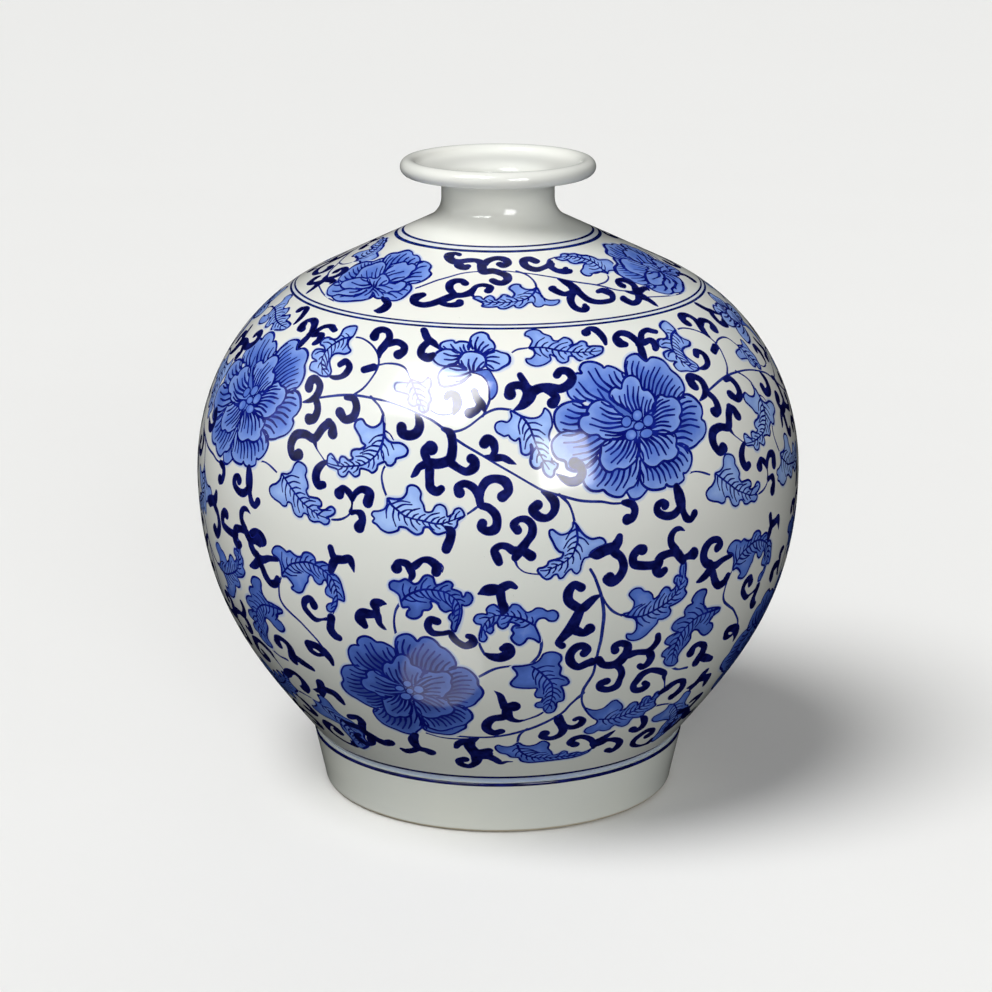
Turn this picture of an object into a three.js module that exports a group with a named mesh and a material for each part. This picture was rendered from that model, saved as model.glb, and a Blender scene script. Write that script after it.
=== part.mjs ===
// A blue-and-white globe vase, made as it is on the potter's bench: a foot ring, a bowl, a dome,
// a neck and a rolled mouth rim, each thrown by itself and luted to the next with slip.
// Millimetres, +Z up. The origin is the middle of the circle that the vase stands on.
import * as THREE from 'three';

// Foot ring
const footHeight = 19.5; // from the table up to the ledge that the bowl stands on
const footTopRadius = 65.8; // at the outer corner of the ledge
const footTaper = 3.8; // how much narrower the ring is just above its rounded lower edge
const footTopWidth = 7.5; // from the ledge's corner in to the bore, which the bowl's floor fills
const footStandWidth = 5.5; // width of the wall where it nears the table
const footEdgeRound = 2;
const footRimChamfer = 1;

// Bowl, the lower half of the globe
const recessHeight = 14; // from the table up to the underside of the floor
const floorThickness = 8;
const floorFillet = 7;
const ledgeWidth = 1.8; // what the foot ring shows outside the bowl
const bowlHeight = 94; // from the ledge up to the widest point
const bowlFootAngle = 52; // degrees above level, where the wall leaves the foot
const bowlFootPull = 35.5; // length of the curve's handle at the foot
const bowlBellyPull = 44.6; // length of the curve's handle at the belly

// Dome, the upper half of the globe
const bellyRadius = 105;
const domeHeight = 70.1; // from the widest point up to where the shoulder runs straight
const domeBellyPull = 29.1;
const domeShoulderPull = 31.5;
const shoulderRadius = 61.6; // where the shoulder runs straight
const shoulderSlope = 25.5; // degrees below level, going outwards

// Neck
const neckRadius = 19.4;
const neckFillet = 8; // between the sloping shoulder and the upright neck
const flareWidth = 14.9; // the part of the shoulder that belongs to the neck piece
const neckLength = 12.7; // from where shoulder and neck lines would cross, up to the rim's underside

// Mouth rim
const rimRadius = 33.5; // outside of the rolled edge
const rimThickness = 5.7;
const rimUnderFillet = 4.5;
const rimInnerTurn = 150; // degrees round the roll where the funnel leaves it
const funnelRimPull = 4;
const funnelBorePull = 6;

// Walls and joints
const bodyWall = 4.5;
const neckWall = 4;
const slipFilm = 0.3; // slip left between the upright faces of a luted joint
const bellyTongueHeight = 5;
const bellyTongueWall = 2.1;
const collarRebateDepth = 2.2;
const collarSeatWidth = 3;
const neckTongueHeight = 2.5;
const neckTongueWall = 1.9;

// Fineness
const turnSegments = 60;
const bellySteps = 9;
const filletSteps = 4;
const rollSteps = 10;

// Heights and radii that follow from the sizes above
const slope = THREE.MathUtils.degToRad(shoulderSlope);
const bellyZ = footHeight + bowlHeight;
const shoulderZ = bellyZ + domeHeight;
const footBottomRadius = footTopRadius - footTaper;
const footRimInnerRadius = footBottomRadius - footStandWidth;
const footBoreRadius = footTopRadius - footTopWidth;
const bowlFootRadius = footTopRadius - ledgeWidth;
const floorRadius = footBoreRadius - slipFilm;
const floorTopZ = recessHeight + floorThickness;
const collarRadius = neckRadius + flareWidth;
const boreRadius = neckRadius - neckWall;
const rimCentre = new THREE.Vector2(rimRadius - rimThickness / 2, 0);
const rimUndersideZ = shoulderLine(neckRadius) + neckLength;
rimCentre.y = rimUndersideZ + rimThickness / 2;
const collarSeatZ = shoulderLine(collarRadius) - collarRebateDepth;
const neckJointZ = rimUndersideZ - rimUnderFillet - neckTongueHeight / 2;

// Height of the straight shoulder's outer face at a radius
function shoulderLine(radius) {
  return shoulderZ + (shoulderRadius - radius) * Math.tan(slope);
}

// Height of the straight shoulder's inner face at a radius
function shoulderInnerLine(radius) {
  return shoulderLine(radius) - bodyWall / Math.cos(slope);
}

function point(radius, height) {
  return new THREE.Vector2(radius, height);
}

// A smooth curve between two points, leaving and arriving along given directions
function sweep(start, startAngle, startPull, end, endAngle, endPull, steps) {
  const leave = THREE.MathUtils.degToRad(startAngle);
  const arrive = THREE.MathUtils.degToRad(endAngle);
  const firstHandle = start.clone().add(point(Math.cos(leave), Math.sin(leave)).multiplyScalar(startPull));
  const lastHandle = end.clone().sub(point(Math.cos(arrive), Math.sin(arrive)).multiplyScalar(endPull));
  return new THREE.CubicBezierCurve(start, firstHandle, lastHandle, end).getPoints(steps);
}

// Points on a round corner or edge, from one angle to another, in degrees
function arc(centre, radius, fromAngle, toAngle, steps) {
  const points = [];
  for (let step = 0; step <= steps; step += 1) {
    const angle = THREE.MathUtils.degToRad(THREE.MathUtils.lerp(fromAngle, toAngle, step / steps));
    points.push(point(centre.x + radius * Math.cos(angle), centre.y + radius * Math.sin(angle)));
  }
  return points;
}

// The inner face of a wall whose outer face runs upwards through these points
function innerFace(outer, wall) {
  return outer.map((here, index) => {
    const before = outer[Math.max(index - 1, 0)];
    const after = outer[Math.min(index + 1, outer.length - 1)];
    const along = after.clone().sub(before).normalize();
    return point(here.x - wall * along.y, here.y + wall * along.x);
  });
}

// One closed turned piece from a section that is listed anticlockwise with the axis on its left
function turnedPiece(name, section, finish, closesOnAxis = false) {
  const outline = closesOnAxis ? section : [...section, section[0].clone()];
  const geometry = new THREE.LatheGeometry(outline, turnSegments);
  geometry.rotateX(Math.PI / 2);
  const mesh = new THREE.Mesh(geometry, finish);
  mesh.name = name;
  return mesh;
}

const glazedPorcelain = new THREE.MeshStandardMaterial({ color: 0xe9ebe4, roughness: 0.08, metalness: 0 });
const glazedFoot = new THREE.MeshStandardMaterial({ color: 0xdfe2da, roughness: 0.1, metalness: 0 });

const bowlOuter = sweep(
  point(bowlFootRadius, footHeight), bowlFootAngle, bowlFootPull,
  point(bellyRadius, bellyZ), 90, bowlBellyPull, bellySteps,
);
const domeOuter = sweep(
  point(bellyRadius, bellyZ), 90, domeBellyPull,
  point(shoulderRadius, shoulderZ), 180 - shoulderSlope, domeShoulderPull, bellySteps,
);

// The wall tapers to its rounded lower edge and stands on a narrow flat ring
function makeFootRing() {
  const edgeCentre = point(footBottomRadius - footEdgeRound, footEdgeRound);
  const section = [
    point(footRimInnerRadius + footRimChamfer, 0),
    ...arc(edgeCentre, footEdgeRound, -90, 0, filletSteps),
    point(footTopRadius, footHeight),
    point(footBoreRadius, footHeight),
    point(footBoreRadius, recessHeight - slipFilm),
    point(footRimInnerRadius, footRimChamfer),
  ];
  return turnedPiece('foot_ring', section, glazedFoot);
}

// The floor drops into the foot ring, the wall stands on its ledge, and a tongue rises at the belly
function makeLowerBody() {
  const wallFootZ = floorTopZ + floorFillet / 2;
  const inner = innerFace(bowlOuter, bodyWall).filter((here) => here.y > wallFootZ).reverse();
  const wallFoot = inner[inner.length - 1];
  const toFloor = (wallFoot.y - floorTopZ) / Math.tan(THREE.MathUtils.degToRad(bowlFootAngle));
  const floorCorner = point(wallFoot.x - toFloor, floorTopZ);
  const floorEdge = point(floorCorner.x - floorFillet, floorTopZ);
  const fillet = new THREE.QuadraticBezierCurve(wallFoot, floorCorner, floorEdge).getPoints(filletSteps);
  const tongueInner = bellyRadius - bodyWall;
  const section = [
    point(0, recessHeight),
    point(floorRadius, recessHeight),
    point(floorRadius, footHeight),
    ...bowlOuter,
    point(tongueInner + bellyTongueWall, bellyZ),
    point(tongueInner + bellyTongueWall, bellyZ + bellyTongueHeight),
    point(tongueInner, bellyZ + bellyTongueHeight),
    ...inner,
    ...fillet.slice(1),
    point(0, floorTopZ),
  ];
  return turnedPiece('lower_body', section, glazedPorcelain, true);
}

// A skirt comes down over the bowl's tongue, and a rebate at the top takes the neck
function makeUpperBody() {
  const skirtInner = bellyRadius - bodyWall + bellyTongueWall + slipFilm;
  const skirtTopZ = bellyZ + bellyTongueHeight + slipFilm;
  const collarInner = collarRadius - collarSeatWidth;
  const inner = innerFace(domeOuter, bodyWall).filter((here) => here.y > skirtTopZ).reverse();
  const section = [
    ...domeOuter,
    point(collarRadius, shoulderLine(collarRadius)),
    point(collarRadius, collarSeatZ),
    point(collarInner, collarSeatZ),
    point(collarInner, shoulderInnerLine(collarInner)),
    ...inner,
    point(bellyRadius - bodyWall, skirtTopZ),
    point(skirtInner, skirtTopZ),
    point(skirtInner, bellyZ),
  ];
  return turnedPiece('upper_body', section, glazedPorcelain);
}

// The flare sits in the dome's rebate, and a thin tongue rises inside the rim
function makeNeck() {
  const outerRadius = collarRadius - slipFilm;
  const turn = 90 - shoulderSlope;
  const filletReach = neckFillet * Math.tan(THREE.MathUtils.degToRad(turn / 2));
  const filletCentre = point(neckRadius + neckFillet, shoulderLine(neckRadius) + filletReach);
  const fillet = arc(filletCentre, neckFillet, 270 - shoulderSlope, 180, filletSteps);
  const innerFillet = arc(filletCentre, neckFillet + neckWall, 180, 270 - shoulderSlope, filletSteps);
  const innerLine = (radius) => shoulderLine(radius) - neckWall / Math.cos(slope);
  const seatInner = neckRadius + (innerLine(neckRadius) - collarSeatZ) / Math.tan(slope);
  const tongueOuter = boreRadius + neckTongueWall;
  const section = [
    point(outerRadius, collarSeatZ),
    point(outerRadius, shoulderLine(outerRadius)),
    ...fillet,
    point(neckRadius, neckJointZ),
    point(tongueOuter, neckJointZ),
    point(tongueOuter, neckJointZ + neckTongueHeight),
    point(boreRadius, neckJointZ + neckTongueHeight),
    ...innerFillet,
    point(seatInner, collarSeatZ),
  ];
  return turnedPiece('neck', section, glazedPorcelain);
}

// A funnel inside, a rolled edge, and a rounded hollow under the overhang
function makeMouthRim() {
  const rebateRadius = boreRadius + neckTongueWall + slipFilm;
  const rebateZ = neckJointZ + neckTongueHeight + slipFilm;
  const hollowCentre = point(neckRadius + rimUnderFillet, rimUndersideZ - rimUnderFillet);
  const roll = arc(rimCentre, rimThickness / 2, -90, rimInnerTurn, rollSteps);
  const funnel = sweep(
    roll[roll.length - 1], rimInnerTurn + 90, funnelRimPull,
    point(boreRadius, rebateZ), -90, funnelBorePull, filletSteps,
  );
  const section = [
    point(rebateRadius, neckJointZ),
    point(neckRadius, neckJointZ),
    ...arc(hollowCentre, rimUnderFillet, 180, 90, filletSteps),
    ...roll,
    ...funnel.slice(1),
    point(rebateRadius, rebateZ),
  ];
  return turnedPiece('mouth_rim', section, glazedPorcelain);
}

const vase = new THREE.Group();
vase.add(makeFootRing(), makeLowerBody(), makeUpperBody(), makeNeck(), makeMouthRim());

export default vase;
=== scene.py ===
# A blue-and-white globe vase: five turned and glazed pieces, with the painting cut into the mesh of
# the globe, so that every brush line keeps a clean edge. Sizes are in millimetres up to the meshes.
import math

import bpy
import numpy as np
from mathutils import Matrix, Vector
from mathutils.geometry import delaunay_2d_cdt


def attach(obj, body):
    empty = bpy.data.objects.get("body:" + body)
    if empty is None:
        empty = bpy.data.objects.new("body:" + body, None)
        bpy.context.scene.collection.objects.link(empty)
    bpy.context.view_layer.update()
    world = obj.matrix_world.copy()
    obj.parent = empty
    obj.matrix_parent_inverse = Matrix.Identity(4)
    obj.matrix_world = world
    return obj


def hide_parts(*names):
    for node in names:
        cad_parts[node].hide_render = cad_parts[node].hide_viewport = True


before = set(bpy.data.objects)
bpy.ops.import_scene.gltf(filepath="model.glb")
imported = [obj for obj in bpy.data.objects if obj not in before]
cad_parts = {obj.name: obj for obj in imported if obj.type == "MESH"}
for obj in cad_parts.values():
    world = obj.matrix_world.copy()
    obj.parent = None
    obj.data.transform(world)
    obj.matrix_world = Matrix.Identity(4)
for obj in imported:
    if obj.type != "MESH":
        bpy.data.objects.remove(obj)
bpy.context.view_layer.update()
millimetre = 0.001

shape = {  # the same sizes as in the part's source
    "footHeight": 19.5,
    "footTopRadius": 65.8,
    "footBottomRadius": 62.0,
    "footBoreRadius": 58.3,
    "footRimInnerRadius": 56.5,
    "footRimChamfer": 1.0,
    "footEdgeRound": 2.0,
    "recessHeight": 14.0,
    "floorTopZ": 22.0,
    "floorFillet": 7.0,
    "bowlFootRadius": 64.0,
    "bowlHeight": 94.0,
    "bowlFootAngle": 52.0,
    "bowlFootPull": 35.5,
    "bowlBellyPull": 44.6,
    "bellyRadius": 105.0,
    "domeHeight": 70.1,
    "domeBellyPull": 29.1,
    "domeShoulderPull": 31.5,
    "shoulderRadius": 61.6,
    "shoulderSlope": 25.5,
    "neckRadius": 19.4,
    "neckFillet": 8.0,
    "collarRadius": 34.3,
    "neckLength": 12.7,
    "rimRadius": 33.5,
    "rimThickness": 5.7,
    "rimUnderFillet": 4.5,
    "rimInnerTurn": 150.0,
    "funnelRimPull": 4.0,
    "funnelBorePull": 6.0,
    "bodyWall": 4.5,
    "neckWall": 4.0,
    "bellyTongueHeight": 5.0,
    "bellyTongueWall": 2.1,
    "slipFilm": 0.3,
    "collarRebateDepth": 2.2,
    "collarSeatWidth": 3.0,
    "neckTongueHeight": 2.5,
    "neckTongueWall": 1.9,
}
slope = math.radians(shape["shoulderSlope"])
bellyZ = shape["footHeight"] + shape["bowlHeight"]
shoulderZ = bellyZ + shape["domeHeight"]
boreRadius = shape["neckRadius"] - shape["neckWall"]
halfTurn = math.pi * shape["bellyRadius"]  # half the way round the widest line


def shoulderLine(radius):
    return shoulderZ + (shape["shoulderRadius"] - radius) * math.tan(slope)


collarZ = shoulderLine(shape["collarRadius"])
collarSeatZ = collarZ - shape["collarRebateDepth"]
rimUndersideZ = shoulderLine(shape["neckRadius"]) + shape["neckLength"]
neckJointZ = rimUndersideZ - shape["rimUnderFillet"] - shape["neckTongueHeight"] / 2


# Curves of a section, as rows of radius and height

def sweep(start, startAngle, startPull, end, endAngle, endPull, steps):
    leave = math.radians(startAngle)
    arrive = math.radians(endAngle)
    start = np.array(start, float)
    end = np.array(end, float)
    firstHandle = start + startPull * np.array([math.cos(leave), math.sin(leave)])
    lastHandle = end - endPull * np.array([math.cos(arrive), math.sin(arrive)])
    t = np.linspace(0, 1, steps + 1)[:, None]
    return (
        (1 - t) ** 3 * start + 3 * (1 - t) ** 2 * t * firstHandle
        + 3 * (1 - t) * t ** 2 * lastHandle + t ** 3 * end
    )


def arc(centre, radius, fromAngle, toAngle, steps):
    angle = np.radians(np.linspace(fromAngle, toAngle, steps + 1))
    return np.column_stack([centre[0] + radius * np.cos(angle), centre[1] + radius * np.sin(angle)])


def innerFace(outer, wall):
    along = np.gradient(outer, axis=0)
    along /= np.linalg.norm(along, axis=1)[:, None]
    return outer + wall * np.column_stack([-along[:, 1], along[:, 0]])


def walked(path):
    return np.concatenate([[0], np.cumsum(np.hypot(*np.diff(path, axis=0).T))])


def bowlCurve(steps):
    return sweep(
        (shape["bowlFootRadius"], shape["footHeight"]), shape["bowlFootAngle"], shape["bowlFootPull"],
        (shape["bellyRadius"], bellyZ), 90, shape["bowlBellyPull"], steps,
    )


def domeCurve(steps):
    return sweep(
        (shape["bellyRadius"], bellyZ), 90, shape["domeBellyPull"],
        (shape["shoulderRadius"], shoulderZ), 180 - shape["shoulderSlope"], shape["domeShoulderPull"], steps,
    )


# The globe's outer face as one curve. A place on it is an angle round the axis, and a height that is
# measured along the curve from the widest line, as a tape would lie on the vase.
tapeSteps = 400
pastCollar = 24.0  # the tape runs on to this radius
outerFace = np.vstack([
    bowlCurve(tapeSteps),
    domeCurve(tapeSteps)[1:],
    [(shape["collarRadius"], collarZ), (pastCollar, shoulderLine(pastCollar))],
])
tape = walked(outerFace)
tape -= tape[tapeSteps]
tapeAtFoot = tape[0]
tapeAtCollar = tape[-2]
faceSlope = np.gradient(outerFace, tape, axis=0)


def radiusAt(height):
    return np.interp(height, tape, outerFace[:, 0])


def placeOnGlobe(angle, height):
    radius = radiusAt(height)
    z = np.interp(height, tape, outerFace[:, 1])
    return np.column_stack([radius * np.sin(angle), -radius * np.cos(angle), z])


def globeNormal(angle, height):
    across = np.interp(height, tape, faceSlope[:, 1])
    up = -np.interp(height, tape, faceSlope[:, 0])
    normal = np.column_stack([across * np.sin(angle), -across * np.cos(angle), up])
    return normal / np.linalg.norm(normal, axis=1)[:, None]


# The painting. Each point is millimetres to the right of the front, and millimetres up the tape from
# the widest line. In a scroll, a third number is half the width of the brush mark there, and a round
# blob is a wide last point. A petal's last point is its root. A berry is its middle, and half its
# width and height. One period is listed, and the band repeats it round the vase.

upperBand = {
    "copies": 4,
    "period": 86.0,  # degrees between copies across the front. The back takes up what is left
    "leafTone": 0.92,
}
upperBand["stems"] = [  # half the brush mark's width, and the line
    (0.3, [(-51, 67.8), (-47, 67.9), (-43, 66), (-40.5, 63), (-39.8, 60), (-40.2, 57.5), (-42, 54),
     (-45, 50), (-48.7, 47.2)]),
    (0.3, [(-39.8, 58.7), (-37, 59.6), (-32.5, 59.6), (-30.2, 58.4), (-28.6, 55)]),
    (0.25, [(-21.3, 44.4), (-19.5, 43.5), (-17, 43.3), (-15, 43.7), (-14, 44.6)]),
    (0.32, [(-63, 44.2), (-58, 45.5), (-53, 46.6), (-48, 47.2), (-42, 47), (-36, 46.3), (-30, 44.8),
     (-25, 43), (-21, 41.3), (-17, 38.5)]),
    (0.35, [(-41.5, 46.8), (-39, 44.5), (-37.6, 42), (-37, 38)]),
    (0.3, [(-36.3, 25.9), (-37.1, 24.8), (-37.8, 22.5), (-37.7, 20.6), (-37.1, 18.3), (-36.3, 16.4),
     (-35.8, 15.2)]),
    (0.25, [(64.2, 19.3), (68.4, 19.7), (71.8, 18.9), (74.3, 17.9)]),
    (0.3, [(-58.1, 6.3), (-55, 6.2), (-52.3, 6.8), (-50, 8.1), (-48.8, 9.5)]),
    (0.3, [(-10.7, 11.3), (-8.8, 12.5), (-6.8, 14)]),
    (0.32, [(-17, 38), (-11.1, 34), (-4.9, 30.5), (-0.3, 27.7), (4.7, 24.8), (10.5, 21.3), (14.3, 19.2),
     (20.1, 17.3), (25.8, 15.5), (30, 14.8), (33.4, 14.5), (37.6, 13.5), (41, 13.4)]),
    (0.35, [(20.1, 17.1), (22.4, 14.8), (23.9, 11.3), (24.7, 7.8), (25.5, 5.5)]),
    (0.32, [(5, 45.2), (0, 45.7), (-3, 44.7), (-6, 42.5), (-9, 40), (-12, 38.4), (-15, 37.9), (-17, 38.5)]),
    (0.28, [(3.5, 65), (6, 67), (10, 67.7)]),
    (0.3, [(-2.4, 50), (-3, 47.5), (-4.5, 44)]),
]
upperBand["scrolls"] = [
    [(-39.8, 61.8, 0.7), (-39.6, 63.8, 1.3), (-37.7, 66.8, 1.4), (-36.4, 69.5, 1.3), (-37, 71.9, 1.3),
     (-39.2, 72.6, 1.3), (-41.3, 71.5, 1.4), (-42.2, 69.3, 1.8)],
    [(-36.8, 67, 1.2), (-33.5, 68.2, 1.3), (-31, 66.8, 1.3), (-31.2, 64.8, 1.4), (-33, 63.3, 1.7)],
    [(-45.3, 56.3, 1.2), (-41.5, 57.8, 1.3)],
    [(-67.3, 47.2, 1.9), (-66.6, 49.4, 1.6), (-64.6, 50.3, 1.4), (-62.5, 48.6, 1.5), (-62.8, 46.2, 1.4),
     (-63.8, 44.2, 1.4), (-62.8, 41.8, 1.4), (-62.7, 39.9, 1.4), (-64, 37.4, 1.5), (-66.2, 36.8, 1.8)],
    [(-63.8, 44.6, 1.2), (-66, 43, 0.9), (-69.3, 41.8, 0.3)],
    [(-51.5, 46, 0.9), (-48.5, 46, 1.3), (-47.3, 43.4, 1.4), (-48.5, 39.9, 1.4), (-51.5, 38.8, 1.4),
     (-53.5, 40.7, 1.8)],
    [(-31.2, 38.4, 1.7), (-30.9, 36.6, 1.7), (-28.7, 35.9, 1.6), (-26.3, 36.8, 1.6), (-25.2, 38.8, 1.5),
     (-25.3, 40.8, 1.3), (-26.2, 42.8, 0.7)],
    [(-57.5, 37, 1.4), (-60, 35, 1.4), (-63.5, 31, 1.4), (-67.3, 31.8, 1.4), (-71.2, 31, 1.5),
     (-73.1, 28.7, 1.6), (-73.5, 26.4, 1.6), (-72.3, 24.1, 1.5), (-69.6, 25, 1.8)],
    [(-58, 37, 1.3), (-56.3, 36, 1.4), (-56.1, 33.7, 1.9)],
    [(-63.1, 29.8, 0.9), (-62.3, 28, 0.35), (-60.3, 25.9, 0.25), (-59, 24.7, 0.25)],
    [(-58.3, 24.3, 0.7), (-60, 23.2, 1.1), (-61.9, 20.9, 1.5), (-62.3, 18.4, 1.6), (-61.2, 16.6, 1.5),
     (-59.2, 16.9, 1.2)],
    [(-53.1, 15, 1.9), (-51.5, 16.8, 1.1), (-49.2, 15.4, 1.2), (-48.3, 13.7, 0.9)],
    [(-48.3, 13.7, 0.9), (-46.9, 16, 1), (-44.6, 17.3, 1.2), (-42.1, 16.4, 1.6), (-42.7, 13.3, 1.75)],
    [(-48.3, 13.7, 0.6), (-48.4, 11.4, 0.35), (-48.7, 9.5, 0.9), (-46.9, 9.8, 0.8), (-45.2, 9.3, 1.4),
     (-44.6, 7.5, 1.3), (-45.8, 5, 1.9)],
    [(-16.8, 7.5, 0.5), (-15.1, 6.3, 1.5), (-15.1, 4, 1.5), (-16.1, 1.3, 1.6), (-16.5, 0.2, 1.5)],
    [(-17.5, 39, 0.5), (-15.2, 37.4, 1.4), (-14.5, 35, 1.4), (-14.5, 31.7, 1.5), (-15.3, 29, 1.6),
     (-18.8, 27.5, 1.6), (-21.8, 27.5, 1.6)],
    [(-22.5, 28, 1.3), (-23.3, 31, 1.6), (-21.5, 32.3, 2.3)],
    [(-23.4, 27, 1.3), (-25.3, 25.9, 1.1), (-26.5, 24, 1), (-27.6, 22.9, 0.5)],
    [(-21.9, 27, 1.4), (-21.8, 25.2, 1.5), (-21.8, 22.1, 1.4), (-21.5, 19.8, 1.5), (-19.5, 18.6, 1.4),
     (-18, 19.6, 1.2)],
    [(-15.3, 28.2, 1.5), (-12.6, 26.3, 1.2), (-9.9, 25.3, 1.3), (-7.6, 26.7, 1.6), (-7.4, 28.6, 1.5),
     (-8.4, 29.4, 1.6)],
    [(-5.9, 17.1, 1.3), (-6.5, 18.6, 1.3), (-8, 20.5, 1.3), (-10.7, 21.5, 1.2), (-12.6, 20.2, 1.4),
     (-12.2, 18.6, 1.7)],
    [(-5.9, 17.1, 1.3), (-5.3, 19.8, 1.3), (-3.4, 22.5, 1.4), (-0.7, 23.2, 1.3), (2.4, 22.1, 1.6),
     (3.3, 19.4, 1.4), (1.4, 17.5, 1.7)],
    [(-5.9, 17.1, 1.3), (-5.3, 14.8, 1.2), (-3, 14, 1.3), (-0.7, 11.7, 1.4), (-0.3, 9, 1.4),
     (-1.1, 7.1, 1.6), (-3.4, 6.5, 1.4), (-5.3, 7.8, 1.4), (-4.9, 9, 1.5)],
    [(13.9, 18.8, 0.4), (16.3, 17.5, 1.3), (18, 15.4, 1.5), (17.9, 12.6, 1.3), (15.8, 10.5, 1.2),
     (13, 10.9, 1.4), (11, 13.3, 1.5), (12.6, 14.7, 1.6)],
    [(6.2, 6.7, 1.4), (5.1, 8.6, 1.4), (6.6, 10.2, 1), (8.9, 10.2, 1.2), (10.8, 8.2, 1.3), (10.8, 5.5, 1.4),
     (9.3, 3.2, 1.3), (7.4, 0.5, 1.6), (5.5, -2.2, 1.3)],
    [(6, 0.2, 1.3), (4.7, 0.2, 1.4), (2.8, 1.5, 1.2), (0.5, 1.7, 1.1), (-1.1, 0.2, 1.3), (-0.3, -2.2, 1.5),
     (0.3, -3.7, 1.3)],
    [(7.6, 0.2, 1.3), (8.9, -0.6, 1.5), (10.5, -1.8, 1.7)],
    [(5.5, -3.3, 0.5), (6.2, -5.2, 0.3), (8.2, -7, 0.25), (10.5, -7.7, 0.25), (13.2, -8, 0.25)],
    [(-4.2, 30.3, 0.4), (-1.5, 29.8, 1.2), (1.6, 29.8, 1.1), (3.9, 28.6, 0.9), (5.8, 27.7, 0.15)],
    [(-1.9, 30, 1), (-1, 32, 1.1), (-1.6, 34.6, 1.5), (-3.3, 35.6, 1.7), (-4.3, 34.4, 1.7)],
    [(41, 13.5, 0.9), (42.6, 13.2, 1.3), (44.2, 12.5, 1.3), (45.1, 10.6, 1.3), (44.2, 8.3, 1.4),
     (42.4, 7.9, 1.8)],
    [(60.7, 16, 1.3), (61.8, 13.3, 1.9), (62.6, 10.6, 1.9), (63.4, 7.9, 1.2), (64.9, 5.2, 1.3),
     (66.8, 4.5, 1.1), (68.2, 6.2, 1.4)],
    [(62.6, 9.5, 1.3), (59.9, 7.3, 1.4), (56.5, 7.2, 1.3), (53.4, 9.1, 1.3), (53.4, 11, 1.3),
     (55.3, 11.8, 1.2), (56.3, 10.8, 1.6)],
    [(29.9, -2.7, 0.8), (31.8, -2.5, 1.8), (34.9, -1.3, 1.9), (37.6, -0.9, 1.9)],
    [(37.8, -1, 1.8), (39.2, 1, 1.6), (39.7, 2.5, 1.2)],
    [(37.6, -1.6, 1.7), (38.4, -2.7, 1.6), (40.3, -4.4, 1.4), (41.3, -7.8, 1.5), (39.9, -10.9, 1.5),
     (37.2, -12.5, 1.6), (35.3, -11.3, 1.4), (36.4, -10.8, 1.8)],
    [(48, -2.8, 1.8), (46.8, -2.5, 1.6), (44.7, -4.4, 1.5), (44.9, -7.1, 1.5), (48, -8.2, 1.5),
     (51.8, -8.6, 1.5), (53.4, -8.6, 2), (54.9, -6.3, 1.6), (58, -5.5, 1.3), (60.7, -5.5, 1.6),
     (62.6, -7.5, 1.6), (63.8, -9, 1.4)],
    [(63.6, -8.2, 1.2), (65.7, -7.8, 1.2), (68, -7.3, 2.2)],
    [(60.7, -4.8, 1.5), (58.8, -2.1, 1.3), (58.8, 0.2, 1.3), (60.3, 2, 1), (62.2, 2.2, 0.8),
     (64.2, 1.2, 0.2)],
    [(53.3, -9, 1.8), (53.4, -10.9, 1.6), (54.9, -11.9, 1.5), (56.5, -11.1, 1.3)],
    [(29.3, 72.8, 1.8), (30.3, 74.2, 0.9), (32.2, 73.6, 1.2), (34.2, 71.5, 1.2), (35.5, 69.2, 1.1),
     (36, 67.2, 0.7)],
    [(43.6, 65.9, 1), (41.3, 66.8, 1.6), (39.9, 69.2, 1.4), (41.3, 70.7, 1.2), (44.2, 70.1, 1.2),
     (46.8, 68, 1.2), (48.8, 65.3, 1.2), (49.5, 62.6, 1.5), (50.3, 60.7, 1.2), (51.3, 58.8, 0.4)],
    [(48.4, 65.5, 1.2), (49.5, 66.5, 1.4), (50.3, 69.3, 1.3), (52.6, 70.3, 1), (54.9, 69.5, 0.9),
     (56.8, 68.8, 0.8)],
    [(49, 65.7, 1.2), (51.1, 65.7, 1.3), (53.4, 66.1, 1.1), (54.9, 64.9, 1.3), (55.5, 63.2, 1.6)],
    [(-24.3, 74, 1.3), (-23, 70.7, 1.4), (-20.7, 68.8, 1.2), (-19, 66.8, 0.4)],
    [(-22.6, 69.6, 1.2), (-24.9, 66.4, 1.3), (-24.9, 64, 1.4), (-22.6, 63.2, 1.7), (-20.9, 64.4, 1)],
    [(5, 45.2, 0.3), (8, 47, 1.5), (10, 50.5, 2.2), (8.6, 53, 1.6), (6.4, 53.8, 1.4), (4, 53, 1.5),
     (3.8, 50.6, 1.9)],
    [(9.3, 52.2, 1.5), (8.2, 55, 1.2), (7, 57.4, 1)],
    [(10.3, 51, 1.9), (13, 52.4, 1.6), (16, 52.7, 1.5), (20, 52, 1.5), (23, 53.5, 1.6), (24, 55.7, 1.5),
     (22.5, 58, 1.4), (20, 58.3, 1.4), (19, 57, 1.4)],
    [(15, 52.2, 1.2), (17.4, 50.6, 1.3), (18.6, 48.9, 1.4), (17.5, 47.3, 1.9)],
    [(-7.5, 51.8, 1.1), (-6.8, 49.5, 1.2), (-5, 46.8, 1.3), (-4.2, 45, 0.6)],
    [(-5.6, 47.4, 1.1), (-6.6, 45.4, 1.2), (-9, 44.2, 1.7)],
    [(-16.5, 49.2, 1), (-15.4, 50.4, 1.3), (-13.7, 49.9, 1.5), (-12.9, 47.5, 1.5), (-13.4, 45.3, 1.2),
     (-14.1, 43.8, 0.6)],
    [(18.7, 24.2, 0.3), (20.6, 22.8, 1), (23, 21.6, 1.4), (25.4, 21.8, 1.5), (26.9, 23.7, 1.5),
     (26.3, 26.2, 1.6), (24.4, 27.4, 1.9)],
]
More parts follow.
